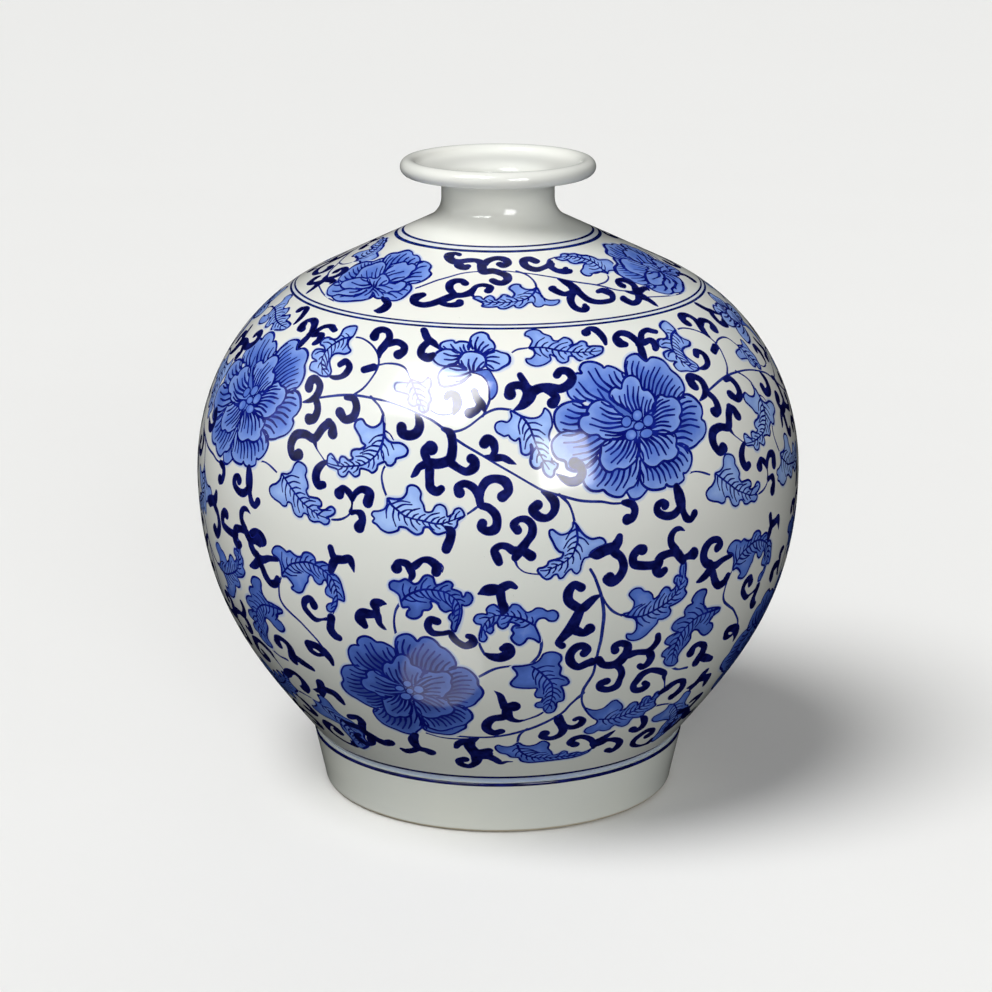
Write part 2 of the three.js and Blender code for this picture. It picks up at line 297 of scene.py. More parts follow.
upperBand["leaves"] = [
    {"edge": [(-50.8, 67.9), (-49.8, 70), (-49.6, 72.2), (-52, 72), (-55, 70.3), (-56.2, 67.5), (-57.5, 66),
      (-59, 65.5), (-61, 65.9), (-63, 65.3), (-64.7, 63.5), (-64.5, 62.6), (-63, 62.3), (-62, 61),
      (-64, 61), (-66.5, 60.3), (-67.8, 58.5), (-67.4, 57.3), (-66, 56.9), (-65, 56.5), (-66.3, 56.2),
      (-67.5, 55.5), (-68, 53.8), (-67.6, 53), (-66.5, 52.8), (-64.5, 52.5), (-63, 51.9), (-61, 51.8),
      (-59, 52.3), (-58.2, 54), (-59, 56), (-59.3, 58), (-58, 60), (-56, 60.8), (-53, 61), (-51, 62.5),
      (-52.2, 64), (-52.3, 66), (-51, 67.8)],
     "spine": [(-51, 67.8), (-54.5, 66.6), (-57, 65), (-60, 62.5), (-62, 60), (-62.8, 57.5), (-62.5, 55),
      (-59, 52.3)],
     "hook": [(-59.5, 52.4, 0.3), (-57, 52, 0.8), (-54, 52.7, 0.9), (-52, 54.3, 1.2), (-50.9, 56.8, 1.3),
      (-52.5, 58.3, 1.2), (-55, 56.8, 1)]},
    {"edge": [(10, 67.8), (11, 70.5), (9.8, 72.3), (8.7, 72.8), (9, 74.2), (11, 75.2), (13.3, 74.8),
      (14.5, 73.4), (17, 72), (17.9, 70.3), (19.5, 70), (21.5, 71.2), (23.5, 70.3), (24.4, 68.5),
      (23.3, 67.7), (25.8, 68.3), (27.3, 69.2), (29, 68.5), (29.5, 67), (32, 66.8), (34.8, 66), (34.5, 64),
      (32, 62.8), (29.5, 62.2), (28, 61.3), (26, 62), (24.5, 63.5), (23, 63.5), (22.7, 61.8), (21, 61.2),
      (19.5, 62), (18.5, 63.7), (16.7, 64.6), (17, 62.7), (15.5, 61.3), (13, 60.5), (11, 60.8), (9.3, 62),
      (9, 63.3), (10.5, 63.4), (11.8, 65), (11.5, 66.5), (10, 67.6)],
     "spine": [(10, 67.8), (15, 67.5), (20, 66), (25, 65), (30, 64.7), (34, 64.7)]},
    {"edge": [(-28.4, 54.8), (-29, 53.6), (-31.5, 53.4), (-33.5, 52.8), (-33.9, 51.5), (-33.4, 50.3),
      (-32, 50), (-30, 49.6), (-28.8, 49), (-29.2, 47.5), (-28.5, 46), (-27, 45.5), (-25.6, 46.3),
      (-25.4, 44.5), (-23.8, 43.7), (-22.5, 44.5), (-22.2, 46.5), (-21.5, 48), (-21.8, 50), (-22.2, 51),
      (-21.6, 53), (-21.6, 55), (-22.4, 55.7), (-23.5, 55), (-24.5, 54), (-26.5, 54.3), (-28.2, 54.8)],
     "spine": [(-28.3, 54.8), (-27.3, 52), (-26, 49), (-24.5, 46), (-23.3, 44)]},
    {"edge": [(-37.1, 36), (-36.3, 34.1), (-34.6, 33.2), (-31.5, 33.2), (-29.6, 32.2), (-29, 31),
      (-29.6, 29.5), (-31.2, 28.7), (-32.9, 28.1), (-33.3, 27), (-34.6, 25.8), (-36, 25.9), (-36.7, 26.8),
      (-38.3, 26.2), (-39.2, 25.6), (-39.6, 24.1), (-41.2, 22.9), (-42.5, 23.5), (-45.4, 23.7),
      (-45.8, 21.8), (-47.3, 21), (-48.7, 21.8), (-49.6, 22.4), (-50.8, 20.8), (-52.3, 20.4), (-53.5, 21.2),
      (-53.8, 22.4), (-57.3, 23.1), (-58.1, 23.7), (-57.9, 24.9), (-57.7, 26.2), (-56.7, 27.1),
      (-55.6, 26.6), (-54.4, 25.2), (-53.1, 24.7), (-53.1, 25.8), (-52.5, 26.7), (-51.3, 26.8),
      (-49.6, 25.9), (-48.1, 26.8), (-48.8, 27.7), (-48.5, 29.1), (-46.9, 29.8), (-45.4, 30), (-43.7, 31.3),
      (-45, 32.2), (-45.7, 33.9), (-46.9, 35.6), (-47.8, 37), (-47, 39), (-45, 39.6), (-43.5, 38),
      (-41, 37.4), (-38.5, 39), (-37.8, 41.5), (-37.4, 39)],
     "spine": [(-37, 39), (-37.5, 33.7), (-38.5, 31), (-39.8, 28.7), (-41.9, 26.8), (-44.6, 25),
      (-48.1, 24.3), (-51.5, 23.7), (-55.4, 23.7), (-57.8, 24)],
     "sideSpine": [(-37.5, 33.7), (-38.1, 29.8), (-37.3, 27.5), (-36.3, 26.2)]},
    {"edge": [(-77.1, 17.5), (-74.6, 17.9), (-72.7, 19.1), (-71.5, 21.4), (-70, 22.6), (-68.5, 22.5),
      (-66.7, 21.6), (-66.2, 20.2), (-66.7, 18.7), (-65.8, 16.8), (-65.5, 15.2), (-66.2, 13.9),
      (-65.2, 12.3), (-63.1, 12.2), (-61.2, 12.1), (-60, 11), (-60.2, 9.8), (-61.5, 9.5), (-60.4, 8.7),
      (-58.5, 8.9), (-57.3, 9.8), (-56, 10.3), (-54.8, 9.5), (-54.8, 8.5), (-56.2, 7.3), (-58.1, 6.4),
      (-56.9, 6), (-57.3, 4.7), (-58.8, 4.1), (-60.8, 4.7), (-63.1, 4.3), (-64.8, 4.8), (-65.8, 6.2),
      (-67.3, 6.4), (-68.1, 5.2), (-69.6, 4.9), (-71.3, 5.8), (-72.1, 7.5), (-72.7, 8.7), (-74.2, 8.9),
      (-75, 7.5), (-76.5, 7.3), (-78.1, 8.1), (-80.6, 8.8), (-82.6, 10), (-83, 11.8), (-81.7, 13.1),
      (-79.8, 13.9), (-77.9, 15.6)],
     "spine": [(-77.1, 17.5), (-74, 14.8), (-71, 12.3), (-68, 10), (-64.5, 8.3), (-61, 6.8), (-58.1, 6.4)]},
    {"edge": [(-35.8, 15.2), (-33.1, 15.3), (-30.8, 15.8), (-29.4, 17.5), (-29, 19.5), (-27.7, 20.2),
      (-25.8, 19.7), (-24.6, 17.9), (-24.8, 16), (-23.8, 14.1), (-23.2, 12.1), (-21.1, 12.2), (-19.9, 14),
      (-18.6, 14.6), (-17, 14), (-16.3, 12.5), (-16.1, 10.9), (-14.5, 11.7), (-13.6, 13.2), (-12.2, 13.7),
      (-11.1, 12.8), (-10.7, 11.3), (-12.8, 9.6), (-13, 8.2), (-13.8, 7.1), (-17.4, 5.5), (-19.2, 5),
      (-20.5, 5.5), (-22.2, 7.1), (-23.6, 6.9), (-24.3, 5.2), (-26.1, 4.5), (-28, 5.3), (-29.6, 6.4),
      (-31.9, 6.4), (-32.1, 5.6), (-33.5, 4.8), (-35.8, 4.3), (-38.1, 5.2), (-39.6, 6.6), (-41, 7.3),
      (-40.4, 8.5), (-41.3, 9.5), (-40.8, 10.6), (-38.8, 11), (-36.9, 11.8), (-36, 13.3)],
     "spine": [(-35.8, 15.2), (-34.4, 13.3), (-32.3, 11.8), (-30, 10.2), (-27.3, 9.5), (-24.2, 9.1),
      (-21.8, 8.6), (-18.4, 8.4), (-15.3, 9.4), (-12.6, 10.5), (-10.3, 11.5)]},
    {"edge": [(4, 45), (4.3, 43), (3, 41.3), (1, 41.6), (-0.5, 41), (-1, 39.5), (-0.3, 38), (1, 37.2),
      (2, 36.7), (3.3, 37), (4, 36), (5.5, 35.2), (6.7, 36), (7, 34.5), (7.2, 33), (7.5, 31.3), (8.7, 30.6),
      (10, 31), (10.5, 32), (10.4, 34), (10.9, 33), (11, 31.5), (10.4, 30), (10.3, 28.2), (11, 26.8),
      (12.3, 26.2), (13.5, 26.8), (14, 28), (14.2, 26.5), (14.6, 25), (15.6, 23.8), (16.8, 23.3),
      (17.7, 24), (18, 25.5), (18.8, 26.3), (19, 27.5), (18, 28.2), (17.2, 28.4), (17.3, 29.8), (18, 31),
      (17.8, 33), (16.8, 34.5), (16.2, 36), (16.5, 38), (17.2, 39.5), (17.2, 41.5), (16.5, 44),
      (14.9, 45.6), (14.2, 44), (13, 42.8), (10.5, 42.4), (8, 43), (6, 44)],
     "spine": [(4.8, 45), (8, 42.5), (9.8, 40), (11, 37), (12, 34), (13.2, 31), (14.8, 28), (16.3, 25.8)]},
    {"edge": [(24.1, 8.6), (23.9, 7.1), (22.4, 5.3), (20.1, 4.8), (18.5, 5.7), (17.4, 6.6), (16.4, 6.3),
      (16.4, 4.8), (17.4, 2.8), (18.5, 0.5), (19.7, -0.8), (20.8, -1.2), (20.3, -2.7), (18.2, -3.3),
      (16.2, -3.9), (15.7, -5), (14.3, -5.8), (13, -6), (12.6, -6.8), (13.3, -7.9), (14.3, -9.1),
      (15.5, -9.8), (16.8, -9.5), (17.8, -8.5), (18.9, -8.3), (19.7, -9.7), (20.8, -9.5), (22, -7.9),
      (23.5, -6.8), (24.3, -7.9), (25.3, -8.5), (26.4, -7.5), (26.8, -5.6), (27.8, -3.5), (29.3, -3.1),
      (29.9, -1.7), (31.8, -0.5), (34.9, 0.8), (34.3, 2.2), (33, 2.9), (30.3, 2.7), (28.2, 3.8),
      (26.6, 5.5), (25.3, 7.5)],
     "spine": [(25.1, 7.6), (25.5, 2.1), (24.7, -0.2), (23.9, -2.2), (21.6, -4.1), (18.5, -5.6),
      (15.5, -6.8), (13.5, -6.8)]},
]
upperBand["blossoms"] = [
    {
        "tones": (0.4, 0.72),  # at the heart and at the edge
        "petals": [
            [(42, 17), (44, 14.2), (47, 14.4), (50, 17), (46.6, 37.6)],
            [(28.3, 47.3), (25.5, 47.4), (23.3, 48.6), (22.3, 50.7), (22.5, 53.3), (24, 56), (25.6, 57.1),
             (27.2, 57), (26.5, 58.5), (27.5, 60.5), (29.6, 61), (32, 60.5), (34.3, 59.1), (35, 58.2),
             (36, 58.8), (38.5, 58), (41, 56.2), (42.7, 54.9), (41.5, 52.8), (46.6, 37.6)],
            [(42.7, 54), (42.7, 55.5), (42.5, 58), (43.3, 60.7), (45.5, 61.9), (47.7, 61.7), (49.3, 60),
             (51, 58.7), (52.8, 59.7), (55, 59.4), (58, 57.8), (60, 55.4), (60.8, 54.1), (63.5, 51.8),
             (65.2, 49.5), (66, 46.8), (65.3, 45.2), (64.5, 44.2), (46.6, 37.6)],
            [(62.5, 44), (64, 44.2), (66.2, 44.9), (69, 43.9), (71.5, 41.8), (73, 39.8), (73.2, 37.5),
             (72.5, 36), (74, 34.5), (74.3, 32), (73, 30), (71, 28.9), (69, 27.8), (66.3, 27.3),
             (63.6, 27.8), (61.8, 28.5), (46.6, 37.6)],
            [(64.5, 28), (65.8, 27.2), (67.2, 25.5), (67.3, 23.2), (66.2, 21), (64.6, 19.8), (63.6, 20),
             (63.9, 18), (62, 16.8), (59.5, 16.3), (57.6, 16.7), (56.8, 17.4), (56.3, 16.5), (53, 16.1),
             (50, 16.8), (47.5, 19), (47, 21.5), (47.2, 24), (46.6, 37.6)],
            [(47, 25.5), (46.9, 22), (46.2, 20), (44.8, 18.2), (43, 17.7), (42, 16.9), (40.5, 15.5),
             (38, 15.6), (35.5, 16.8), (34, 18.1), (32.5, 17.9), (30, 18.3), (28.2, 19.8), (27.3, 21.9),
             (27.6, 24.5), (28.5, 26.5), (31, 28.5), (33, 28), (46.6, 37.6)],
            [(22, 37.8), (20.3, 37.4), (18.9, 36.5), (17.2, 34.5), (17.3, 31.5), (18.8, 29.2), (21.5, 28),
             (22, 26), (24.3, 24.8), (27, 25), (28.8, 26.5), (31.5, 28.8), (33, 31), (46.6, 37.6)],
            [(29.5, 45.2), (28, 45.5), (26.5, 46.8), (24, 47.4), (20.5, 46.5), (18.3, 44.3), (17.9, 41.5),
             (18.6, 39), (20, 37.4), (22, 37.8), (24.5, 37.5), (27, 37), (46.6, 37.6)],
        ],
        "innerPetals": [
            [(44.2, 41.8), (41, 44.2), (38, 46.3), (36.6, 48), (37, 50), (38.8, 51), (40.8, 50.3),
             (41.3, 52), (42.4, 53.7), (44.3, 54.4), (46.3, 53.8), (47.8, 52.2), (49, 49), (51, 48.6),
             (52.9, 46.5), (53.5, 44.6), (53, 42.5), (50, 41), (46.6, 37.6)],
            [(41.5, 40.8), (38.5, 43.5), (36.2, 46.1), (33.8, 47.2), (31, 46.7), (29.3, 45.1), (28.7, 43.5),
             (29.3, 42.8), (27, 42.3), (26, 40.8), (26.1, 38.8), (27.3, 37.2), (29.5, 35.9), (32.3, 35.8),
             (33.5, 34.6), (36, 33.9), (39, 33.8), (41.8, 34.3), (46.6, 37.6)],
            [(52.3, 40.5), (53.6, 43.5), (54.2, 46), (56.2, 46.2), (58, 45.3), (60.5, 45), (62.8, 43.5),
             (64, 41.3), (64, 39.3), (63, 38), (63.5, 36.7), (62.5, 34.8), (60.3, 33.5), (57.5, 33.3),
             (54, 34), (52.3, 35), (46.6, 37.6)],
            [(42.3, 33.6), (39, 33.7), (35.5, 33.8), (33.5, 32.2), (33.2, 30), (32.8, 28), (33.5, 25.8),
             (35.2, 24), (37, 23.6), (38.7, 24.4), (41.5, 24), (44, 25.2), (46, 27), (46.7, 29),
             (46.3, 31.5), (45.8, 33), (46.6, 37.6)],
            [(46.9, 33.5), (47, 30), (46.9, 28), (48.3, 25.5), (50.5, 23.8), (53, 23.5), (55.8, 24.9),
             (57.3, 24.6), (59.5, 24.8), (61.3, 25.9), (61.9, 27.6), (61, 29), (61.3, 31), (60.2, 33.2),
             (56.5, 33.3), (53, 34), (46.6, 37.6)],
        ],
        "berries": [(43.9, 34.7, 2.1, 1.8), (49.6, 34.5, 2.4, 1.6), (42.4, 39.1, 1.8, 1.8),
         (50.4, 38.5, 2, 2), (46.4, 40.7, 1.9, 1.9), (46.9, 37.2, 1.9, 1.4)],
    },
    {
        "tones": (0.55, 0.9),
        "veinSpacing": 0.85,
        "petals": [
            [(-11, 59.8), (-13, 60.5), (-17, 59.8), (-19, 57.5), (-19.2, 55.5), (-18.5, 53.3), (-16, 53),
             (-13, 53.8), (-11, 55), (-8.8, 57.5), (-9, 58.2)],
            [(-17.5, 66.5), (-18.8, 67.5), (-18.5, 69), (-17, 70), (-14.5, 70.4), (-13.7, 69.5),
             (-12.5, 70.1), (-10, 70), (-8.8, 69.2), (-9.3, 67.5), (-11, 65)],
            [(-13.5, 66.6), (-17.5, 66.7), (-20, 65), (-21, 62.8), (-19.5, 61), (-17, 60.3), (-14, 61),
             (-12.5, 62.3), (-12.3, 63.8)],
            [(-9, 68.5), (-9, 71), (-8, 73), (-5.5, 74.3), (-3.5, 73.5), (-2.7, 71.5), (-1.5, 70), (-1, 68),
             (-2, 66.5), (-3.5, 65.5), (-6.5, 65.8)],
            [(-3.5, 65.8), (-1, 66.8), (1, 66), (3, 65.3), (3.8, 63.8), (3.5, 61.8), (1.5, 60.3), (0, 59.3),
             (-2, 59.1), (-3.3, 60), (-4, 61), (-4.4, 63.2)],
            [(-10.5, 60), (-12.5, 61.5), (-12.6, 63), (-12, 64), (-11, 65.5), (-9, 66.2), (-6, 65.8),
             (-4.3, 64.5), (-3.8, 62.5), (-4.5, 60.5), (-6.5, 59), (-8.3, 58.7)],
        ],
        "calyx": [(-8.3, 58.3), (-6.8, 57.9), (-5, 57), (-3.5, 55), (-2.8, 52), (-2.6, 49), (-2, 49),
         (-0.5, 51), (-0.3, 54), (-1.5, 57), (-3, 59.3), (-5.5, 59.2)],
    },
]

lowerBand = {
    "copies": 4,
    "period": 91.0,
    "leafTone": 0.53,
}
lowerBand["stems"] = [
    (0.35, [(-77.9, -17.2), (-79.3, -19.9), (-79.8, -23), (-79.5, -26.1), (-77.9, -28.4), (-74.5, -30.7),
     (-70.6, -33), (-66.8, -36.1), (-63.7, -38.8), (-62.2, -40.7)]),
    (0.35, [(-31.6, -18.8), (-33.3, -21.8), (-34, -24.9), (-34, -28), (-33.3, -31.8)]),
    (0.35, [(-5.4, -30.3), (-6, -31.5), (-5.8, -33.4), (-4.6, -36.2)]),
    (0.45, [(11.9, -26.1), (13.5, -30.3), (14, -33.8), (13.1, -37.6), (11.2, -40.3), (10, -41.7)]),
    (0.38, [(-5.8, -45.9), (-1.2, -42.8), (3.1, -41.7), (6.9, -41.5), (10, -41.8), (12.3, -43)]),
    (0.35, [(15.6, -62.8), (14.8, -63.6), (12.9, -65.2), (9.1, -67.1)]),
    (0.45, [(27.9, -56), (24, -60.5), (21.8, -64), (17.5, -67.8), (12.2, -71.3), (7.5, -73.6), (2.5, -75.5),
     (-3.2, -76.7), (-9.4, -76.9), (-14, -76.7)]),
    (0.3, [(-9, -77.8), (-14.8, -78.4), (-19.4, -78), (-23.2, -76.7)]),
    (0.4, [(56.9, -69.5), (60.4, -69.9), (63.5, -70.8), (65.8, -71.8)]),
    (0.38, [(27.9, -56.2), (27.9, -59.3), (28.7, -62.4), (30.4, -65.5), (32.3, -68.2), (34.6, -70.5)]),
    (0.35, [(9.1, -72.8), (7.2, -75.5), (6.6, -78.6), (6.4, -81.7)]),
    (0.45, [(30.3, -8.2), (31.3, -10), (32.6, -13.5), (33.6, -16.5), (34.3, -20), (34.7, -24.2),
     (34.3, -29.2), (33.8, -33.8), (33, -37.7), (32.2, -42.7), (31.5, -46.9), (29.9, -50.4), (28.4, -53.5),
     (27.9, -56), (27, -57)]),
    (0.35, [(33.8, -16.9), (35.7, -20.4), (38, -23.1), (40.7, -24.8)]),
    (0.45, [(61.6, -48.5), (61.8, -50.2), (64.5, -52.3), (68, -52.7)]),
]
lowerBand["scrolls"] = [
    [(-56.6, -3.4, 1.2), (-56, -5.3, 1.2), (-55.2, -7.2, 1.6), (-56, -9.2, 1.6), (-56.6, -11.1, 1.3)],
    [(-55, -7.1, 1.4), (-54.5, -7, 1.5), (-51.8, -6.7, 1.4), (-49.5, -6.1, 1.4), (-48.7, -7.6, 1.2),
     (-47.9, -10.3, 0.3)],
    [(-64, -25.2, 1.6), (-65.6, -23, 1.3), (-67.9, -24.2, 1.4), (-68.3, -26.5, 1.2), (-66.4, -28.8, 1.1),
     (-63.7, -30.5, 1), (-61, -29.9, 0.5), (-59.1, -29.3, 0.7)],
    [(-57.2, -28.4, 1.6), (-57.5, -30.7, 1.5), (-57.7, -33, 1.6), (-56, -35.3, 1.5), (-54.5, -35.9, 1.3)],
    [(-67.9, -41.5, 1.7), (-64.5, -41.5, 1.5), (-61.4, -43, 1.6), (-59.1, -45.3, 1.4), (-58.3, -46.7, 1.1),
     (-57.9, -48.2, 0.7)],
    [(-67.9, -42, 1.5), (-66.8, -44.2, 1.2), (-64, -45.3, 0.9), (-61.5, -44.5, 0.8)],
    [(-40.2, -24.2, 1.4), (-40.2, -22.6, 1.3), (-40.6, -20.7, 1.8), (-38.3, -19.9, 1.2),
     (-36.8, -20.1, 0.4)],
    [(-40.2, -24.2, 1.4), (-41.8, -24.5, 1.5), (-45.2, -24.9, 2), (-46, -26.8, 2.1), (-44.5, -29.2, 1.3)],
    [(-40.2, -24.2, 1.4), (-39.8, -24.9, 1.4), (-39.1, -27.6, 1), (-37.5, -29.3, 0.6), (-36.8, -29.7, 0.2)],
    [(-32.9, -7.2, 1.9), (-32.2, -5.3, 1.2), (-29.5, -5.5, 1.3), (-28.5, -6.8, 1.4), (-27.7, -9.2, 1.2),
     (-28.3, -10.7, 0.8)],
    [(-28.5, -7, 1.2), (-26.5, -5.7, 1.3), (-24.2, -3.8, 1), (-21.9, -3.8, 1.3), (-19.6, -5.7, 1.6),
     (-19.8, -7.6, 1.6)],
    [(-18.3, -4.6, 0.25), (-17.5, -5.8, 0.25), (-17.8, -7.5, 0.2)],
    [(-19.6, -24.9, 1.4), (-21.7, -24.5, 1.4), (-22.7, -26.8, 1.3), (-21.2, -29.2, 1.2),
     (-18.1, -29.3, 0.9), (-15.4, -28.8, 1), (-14.6, -30.3, 1.2), (-13.1, -32.2, 1.2), (-10.4, -33.6, 1.3),
     (-8.1, -32.2, 1.6), (-8.5, -30.3, 1.2), (-9.6, -29.9, 1)],
    [(-6.2, -14.5, 0.4), (-3.8, -13.4, 1.8), (-1.2, -13, 1.9), (0.8, -13.4, 1.5)],
    [(0.6, -13, 1.5), (1.5, -12.2, 1.5), (3.8, -11.3, 1.3), (5.6, -12.2, 0.8)],
    [(0.6, -13.4, 1.5), (0.8, -14.5, 1.5), (1.2, -17.2, 1.4), (1.9, -19.9, 1.6), (1.2, -21.8, 0.5)],
    [(-4.6, -36.2, 0.4), (-4.3, -36.4, 0.5), (-2.3, -37.6, 1.3), (1, -38, 1.8), (3.6, -36.2, 1.9),
     (3, -34, 1.8), (1.5, -34.5, 1.2)],
    [(-1.3, -52.3, 0.1), (0.6, -54.4, 1), (1.4, -57.1, 1.3), (2, -59.6, 1.4), (2.9, -61.3, 1.7),
     (3.1, -64.4, 1.7), (4.5, -66.7, 1.2), (6.8, -67.7, 0.8), (8.3, -67.3, 0.5)],
    [(2.2, -60.3, 1.5), (5, -60, 2.4)],
    [(3, -64.4, 1.5), (1.4, -65.5, 1.7), (-1.7, -66.3, 1.6), (-3.6, -69, 1.7), (-3.6, -72.1, 1.6),
     (-1.3, -74.2, 1.5), (1, -73.2, 1.4)],
    [(-7.1, -77.5, 0.9), (-9.4, -79.8, 2), (-9.4, -82.5, 1.9), (-8.2, -85.2, 2), (-7.1, -87.8, 2.1),
     (-7.1, -90.2, 1.9), (-7.5, -92.8, 1.5), (-9.8, -95.2, 1.3), (-12.5, -94, 1.4), (-13, -91.7, 1.4),
     (-11.3, -90.9, 1.7)],
    [(-9.8, -79.8, 1.7), (-11.3, -79.8, 1.7), (-13.2, -81.3, 1.5), (-14, -83.6, 0.9)],
    [(-7.5, -86.2, 1.8), (-5.5, -85.9, 1.8), (-3.2, -84.8, 1.6)],
    [(-6.6, -87.2, 1.8), (-3.6, -86.7, 1.9)],
    [(-6.6, -88.6, 1.8), (-3.2, -88.6, 1.7), (-0.9, -90.5, 1.4), (1, -92.5, 1.1), (2.9, -91.9, 0.6),
     (4.8, -91.9, 0.3)],
    [(-28.2, -78.2, 1.4), (-29, -81.3, 1.9), (-28.2, -84.8, 1.6), (-26.6, -86.8, 1.4), (-24.8, -87.1, 1.5),
     (-22.8, -88.2, 1.8)],
    [(-27.4, -86.6, 1.4), (-29, -88.2, 1.4), (-31.7, -89.4, 1.5), (-33.6, -88.6, 0.8)],
    [(-53.3, -74.8, 1.6), (-50.2, -74, 1.4), (-48.5, -76.3, 1.7), (-48.7, -79, 1.7), (-48.3, -81.7, 1.5),
     (-45.2, -84.4, 1.8), (-42.5, -85.9, 1.6), (-39.8, -86.7, 1.9), (-37.9, -85.9, 2)],
    [(-57.5, -78.2, 0.6), (-54.5, -79.8, 1.5), (-51.4, -80.2, 1.7), (-48.7, -80.5, 1.6)],
    [(-45, -84.6, 1.8), (-45.6, -86.3, 1.9), (-45.6, -88.6, 1.7), (-47.9, -90.5, 1.4), (-50.6, -89, 1.5),
     (-52.2, -86.7, 1.3), (-51, -85.5, 1.4)],
    [(-64.8, -59.4, 1.9), (-64.5, -62.1, 2), (-64.8, -64.8, 2), (-64.5, -67.1, 0.6)],
    [(-64.8, -63.8, 1.4), (-67.2, -64.4, 1.2), (-68.7, -64.4, 0.4)],
    [(-64.2, -62, 1.6), (-61.4, -62.5, 1.6), (-58.7, -63.2, 1.6), (-56.4, -65.9, 1.4), (-55.2, -67.7, 0.8)],
    [(55.8, -88.9, 1.6), (57.7, -87.8, 1.7), (58.1, -85.5, 1.3), (55.4, -84.7, 1.4), (52.7, -86.2, 1.4),
     (50, -88.9, 1.4), (49.6, -91.6, 1.3), (51.9, -93.9, 1), (55.4, -94.9, 0.8), (58.1, -94.3, 1.2),
     (59.2, -92.4, 0.8)],
    [(51, -73.6, 0.6), (52.4, -75.2, 1.5), (53.1, -78, 1.5), (52.3, -80.9, 1.5), (49.8, -82.2, 1.4),
     (48.3, -80.8, 1.8)],
    [(58.1, -62.4, 1.2), (60.8, -60.8, 1.6), (63.5, -59.3, 1.4), (66.2, -58.7, 1.2), (68.1, -59.7, 1.5),
     (68.5, -62, 1.6), (67.3, -64.3, 1.6), (65, -66.2, 1.5), (63.8, -66.8, 1.7)],
    [(50.8, -55.1, 1.2), (51.9, -56.6, 1.4), (50, -58.2, 1.5), (47.3, -57.8, 1.4), (46.5, -55.5, 1.3),
     (48.1, -52.8, 1.5), (49.5, -50.8, 1.5), (53, -49.6, 1.2), (56.5, -50.8, 1.4), (58.8, -52.7, 1.3),
     (58.8, -54.3, 0.9), (59.4, -57, 0.4), (59.6, -60.5, 0.3)],
    [(20.8, -66.2, 0.8), (21.2, -69.3, 1.2), (22.3, -72, 1.3), (25, -73.2, 1.3), (27.7, -72, 1.4),
     (28.5, -69.7, 1.3), (27.1, -68.2, 1), (25.8, -68.9, 1)],
    [(19.1, -66.3, 0.6), (19.8, -68.6, 1.3), (21.4, -71.7, 1.6), (21.8, -74.4, 1.5), (20.6, -77.1, 1.3),
     (17.5, -78.6, 1.2), (14.8, -77.1, 1.4), (15.6, -75.2, 1.7)],
    [(26.2, -83.9, 1.7), (24.6, -82.4, 1.5), (25.8, -80.1, 1.3), (28.5, -79.5, 1.3), (31.2, -81.2, 1.3),
     (32.7, -83.5, 1.3), (33.5, -85.8, 1.8), (33.1, -87.8, 0.8)],
    [(33.3, -85.2, 1.7), (34.2, -84.3, 1.7), (36.9, -82.4, 1.4), (39.2, -80.5, 1), (40.8, -79.1, 0.4)],
    [(33.6, -85.8, 1.6), (35.4, -85.5, 1.6), (38.5, -84.3, 1.2), (41.5, -85.1, 1.5), (43.5, -87.4, 1.5),
     (42.7, -90.5, 1.5), (40.4, -92.4, 1.2), (39, -91.2, 1.6)],
    [(33.6, -16, 0.4), (33.2, -16.6, 0.5), (31.1, -17.7, 1.2), (28, -20.4, 1.6), (26.9, -21.1, 1.5),
     (25.4, -24.2, 1.8), (23.8, -27.6, 2), (21.2, -30.7, 1.5), (19.6, -33, 1.2), (20.8, -34.2, 1.3)],
    [(26.9, -13.4, 1.5), (24.6, -12.2, 1.3), (22.7, -14.5, 1.6), (22.7, -17.6, 1.6), (25, -19.9, 1.6),
     (26.9, -21, 1.5)],
    [(24, -27.6, 1.8), (25.4, -28.8, 1.7), (28, -29.9, 1.4), (29.9, -28.5, 1.9)],
    [(32.6, -41, 0.8), (31.8, -41.5, 1.6), (29.2, -42.3, 1.5), (26.2, -43.4, 1.4), (23.8, -41.1, 1.6),
     (23.5, -38, 1.5), (25.4, -35.3, 1.5), (27.7, -34.9, 1.4), (29.2, -36.5, 1.5), (28.2, -38, 1.5)],
    [(32.5, -40.4, 0.8), (33, -40.8, 1.4), (34.9, -43.5, 1.4), (38, -44.2, 1.6), (40.3, -43.5, 1.8),
     (42.2, -41.5, 1.8), (43.4, -39.2, 1.6), (43.4, -36.9, 1.5), (41.1, -35.6, 1.3), (38.8, -36.5, 1.3),
     (39, -38.3, 1.5)],
    [(42.4, -41, 1.6), (44.2, -40.8, 1.6), (47.2, -40.4, 1.2), (51.1, -40.8, 1.3), (53.4, -39.2, 1.2),
     (54.9, -36.9, 1.3), (54.9, -35, 1.2)],
    [(51, -40.9, 1.3), (51.8, -41.5, 1.6), (52.6, -43.5, 1.6), (51.5, -46.2, 1.4), (49.2, -47.3, 1.2),
     (48.4, -46.5, 1.2)],
    [(38.6, -44, 1.5), (39.5, -44.4, 1.4), (41.1, -46.2, 1.3), (41.8, -48.8, 1.3), (41.1, -51.5, 1.2),
     (40, -54.3, 1.5), (36.9, -55.3, 1.4), (34.2, -53.9, 1.4), (34.2, -52, 1.4), (36.3, -51.2, 1.6)],
    [(69.7, -46.2, 1.9), (71, -43.8, 1.3), (73.4, -43.1, 1.2), (76.1, -45, 1.6), (75.7, -47.7, 1.7),
     (74.2, -50, 1.8), (73, -51.9, 1.8)],
    [(75, -49.5, 1.7), (78, -51.2, 1.9), (81.1, -52.7, 1.4)],
    [(78.8, -7.5, 1.5), (80.3, -6.7, 1.4), (79.2, -4.8, 1.2), (76.1, -4.4, 1.3), (73.4, -6.3, 1.6),
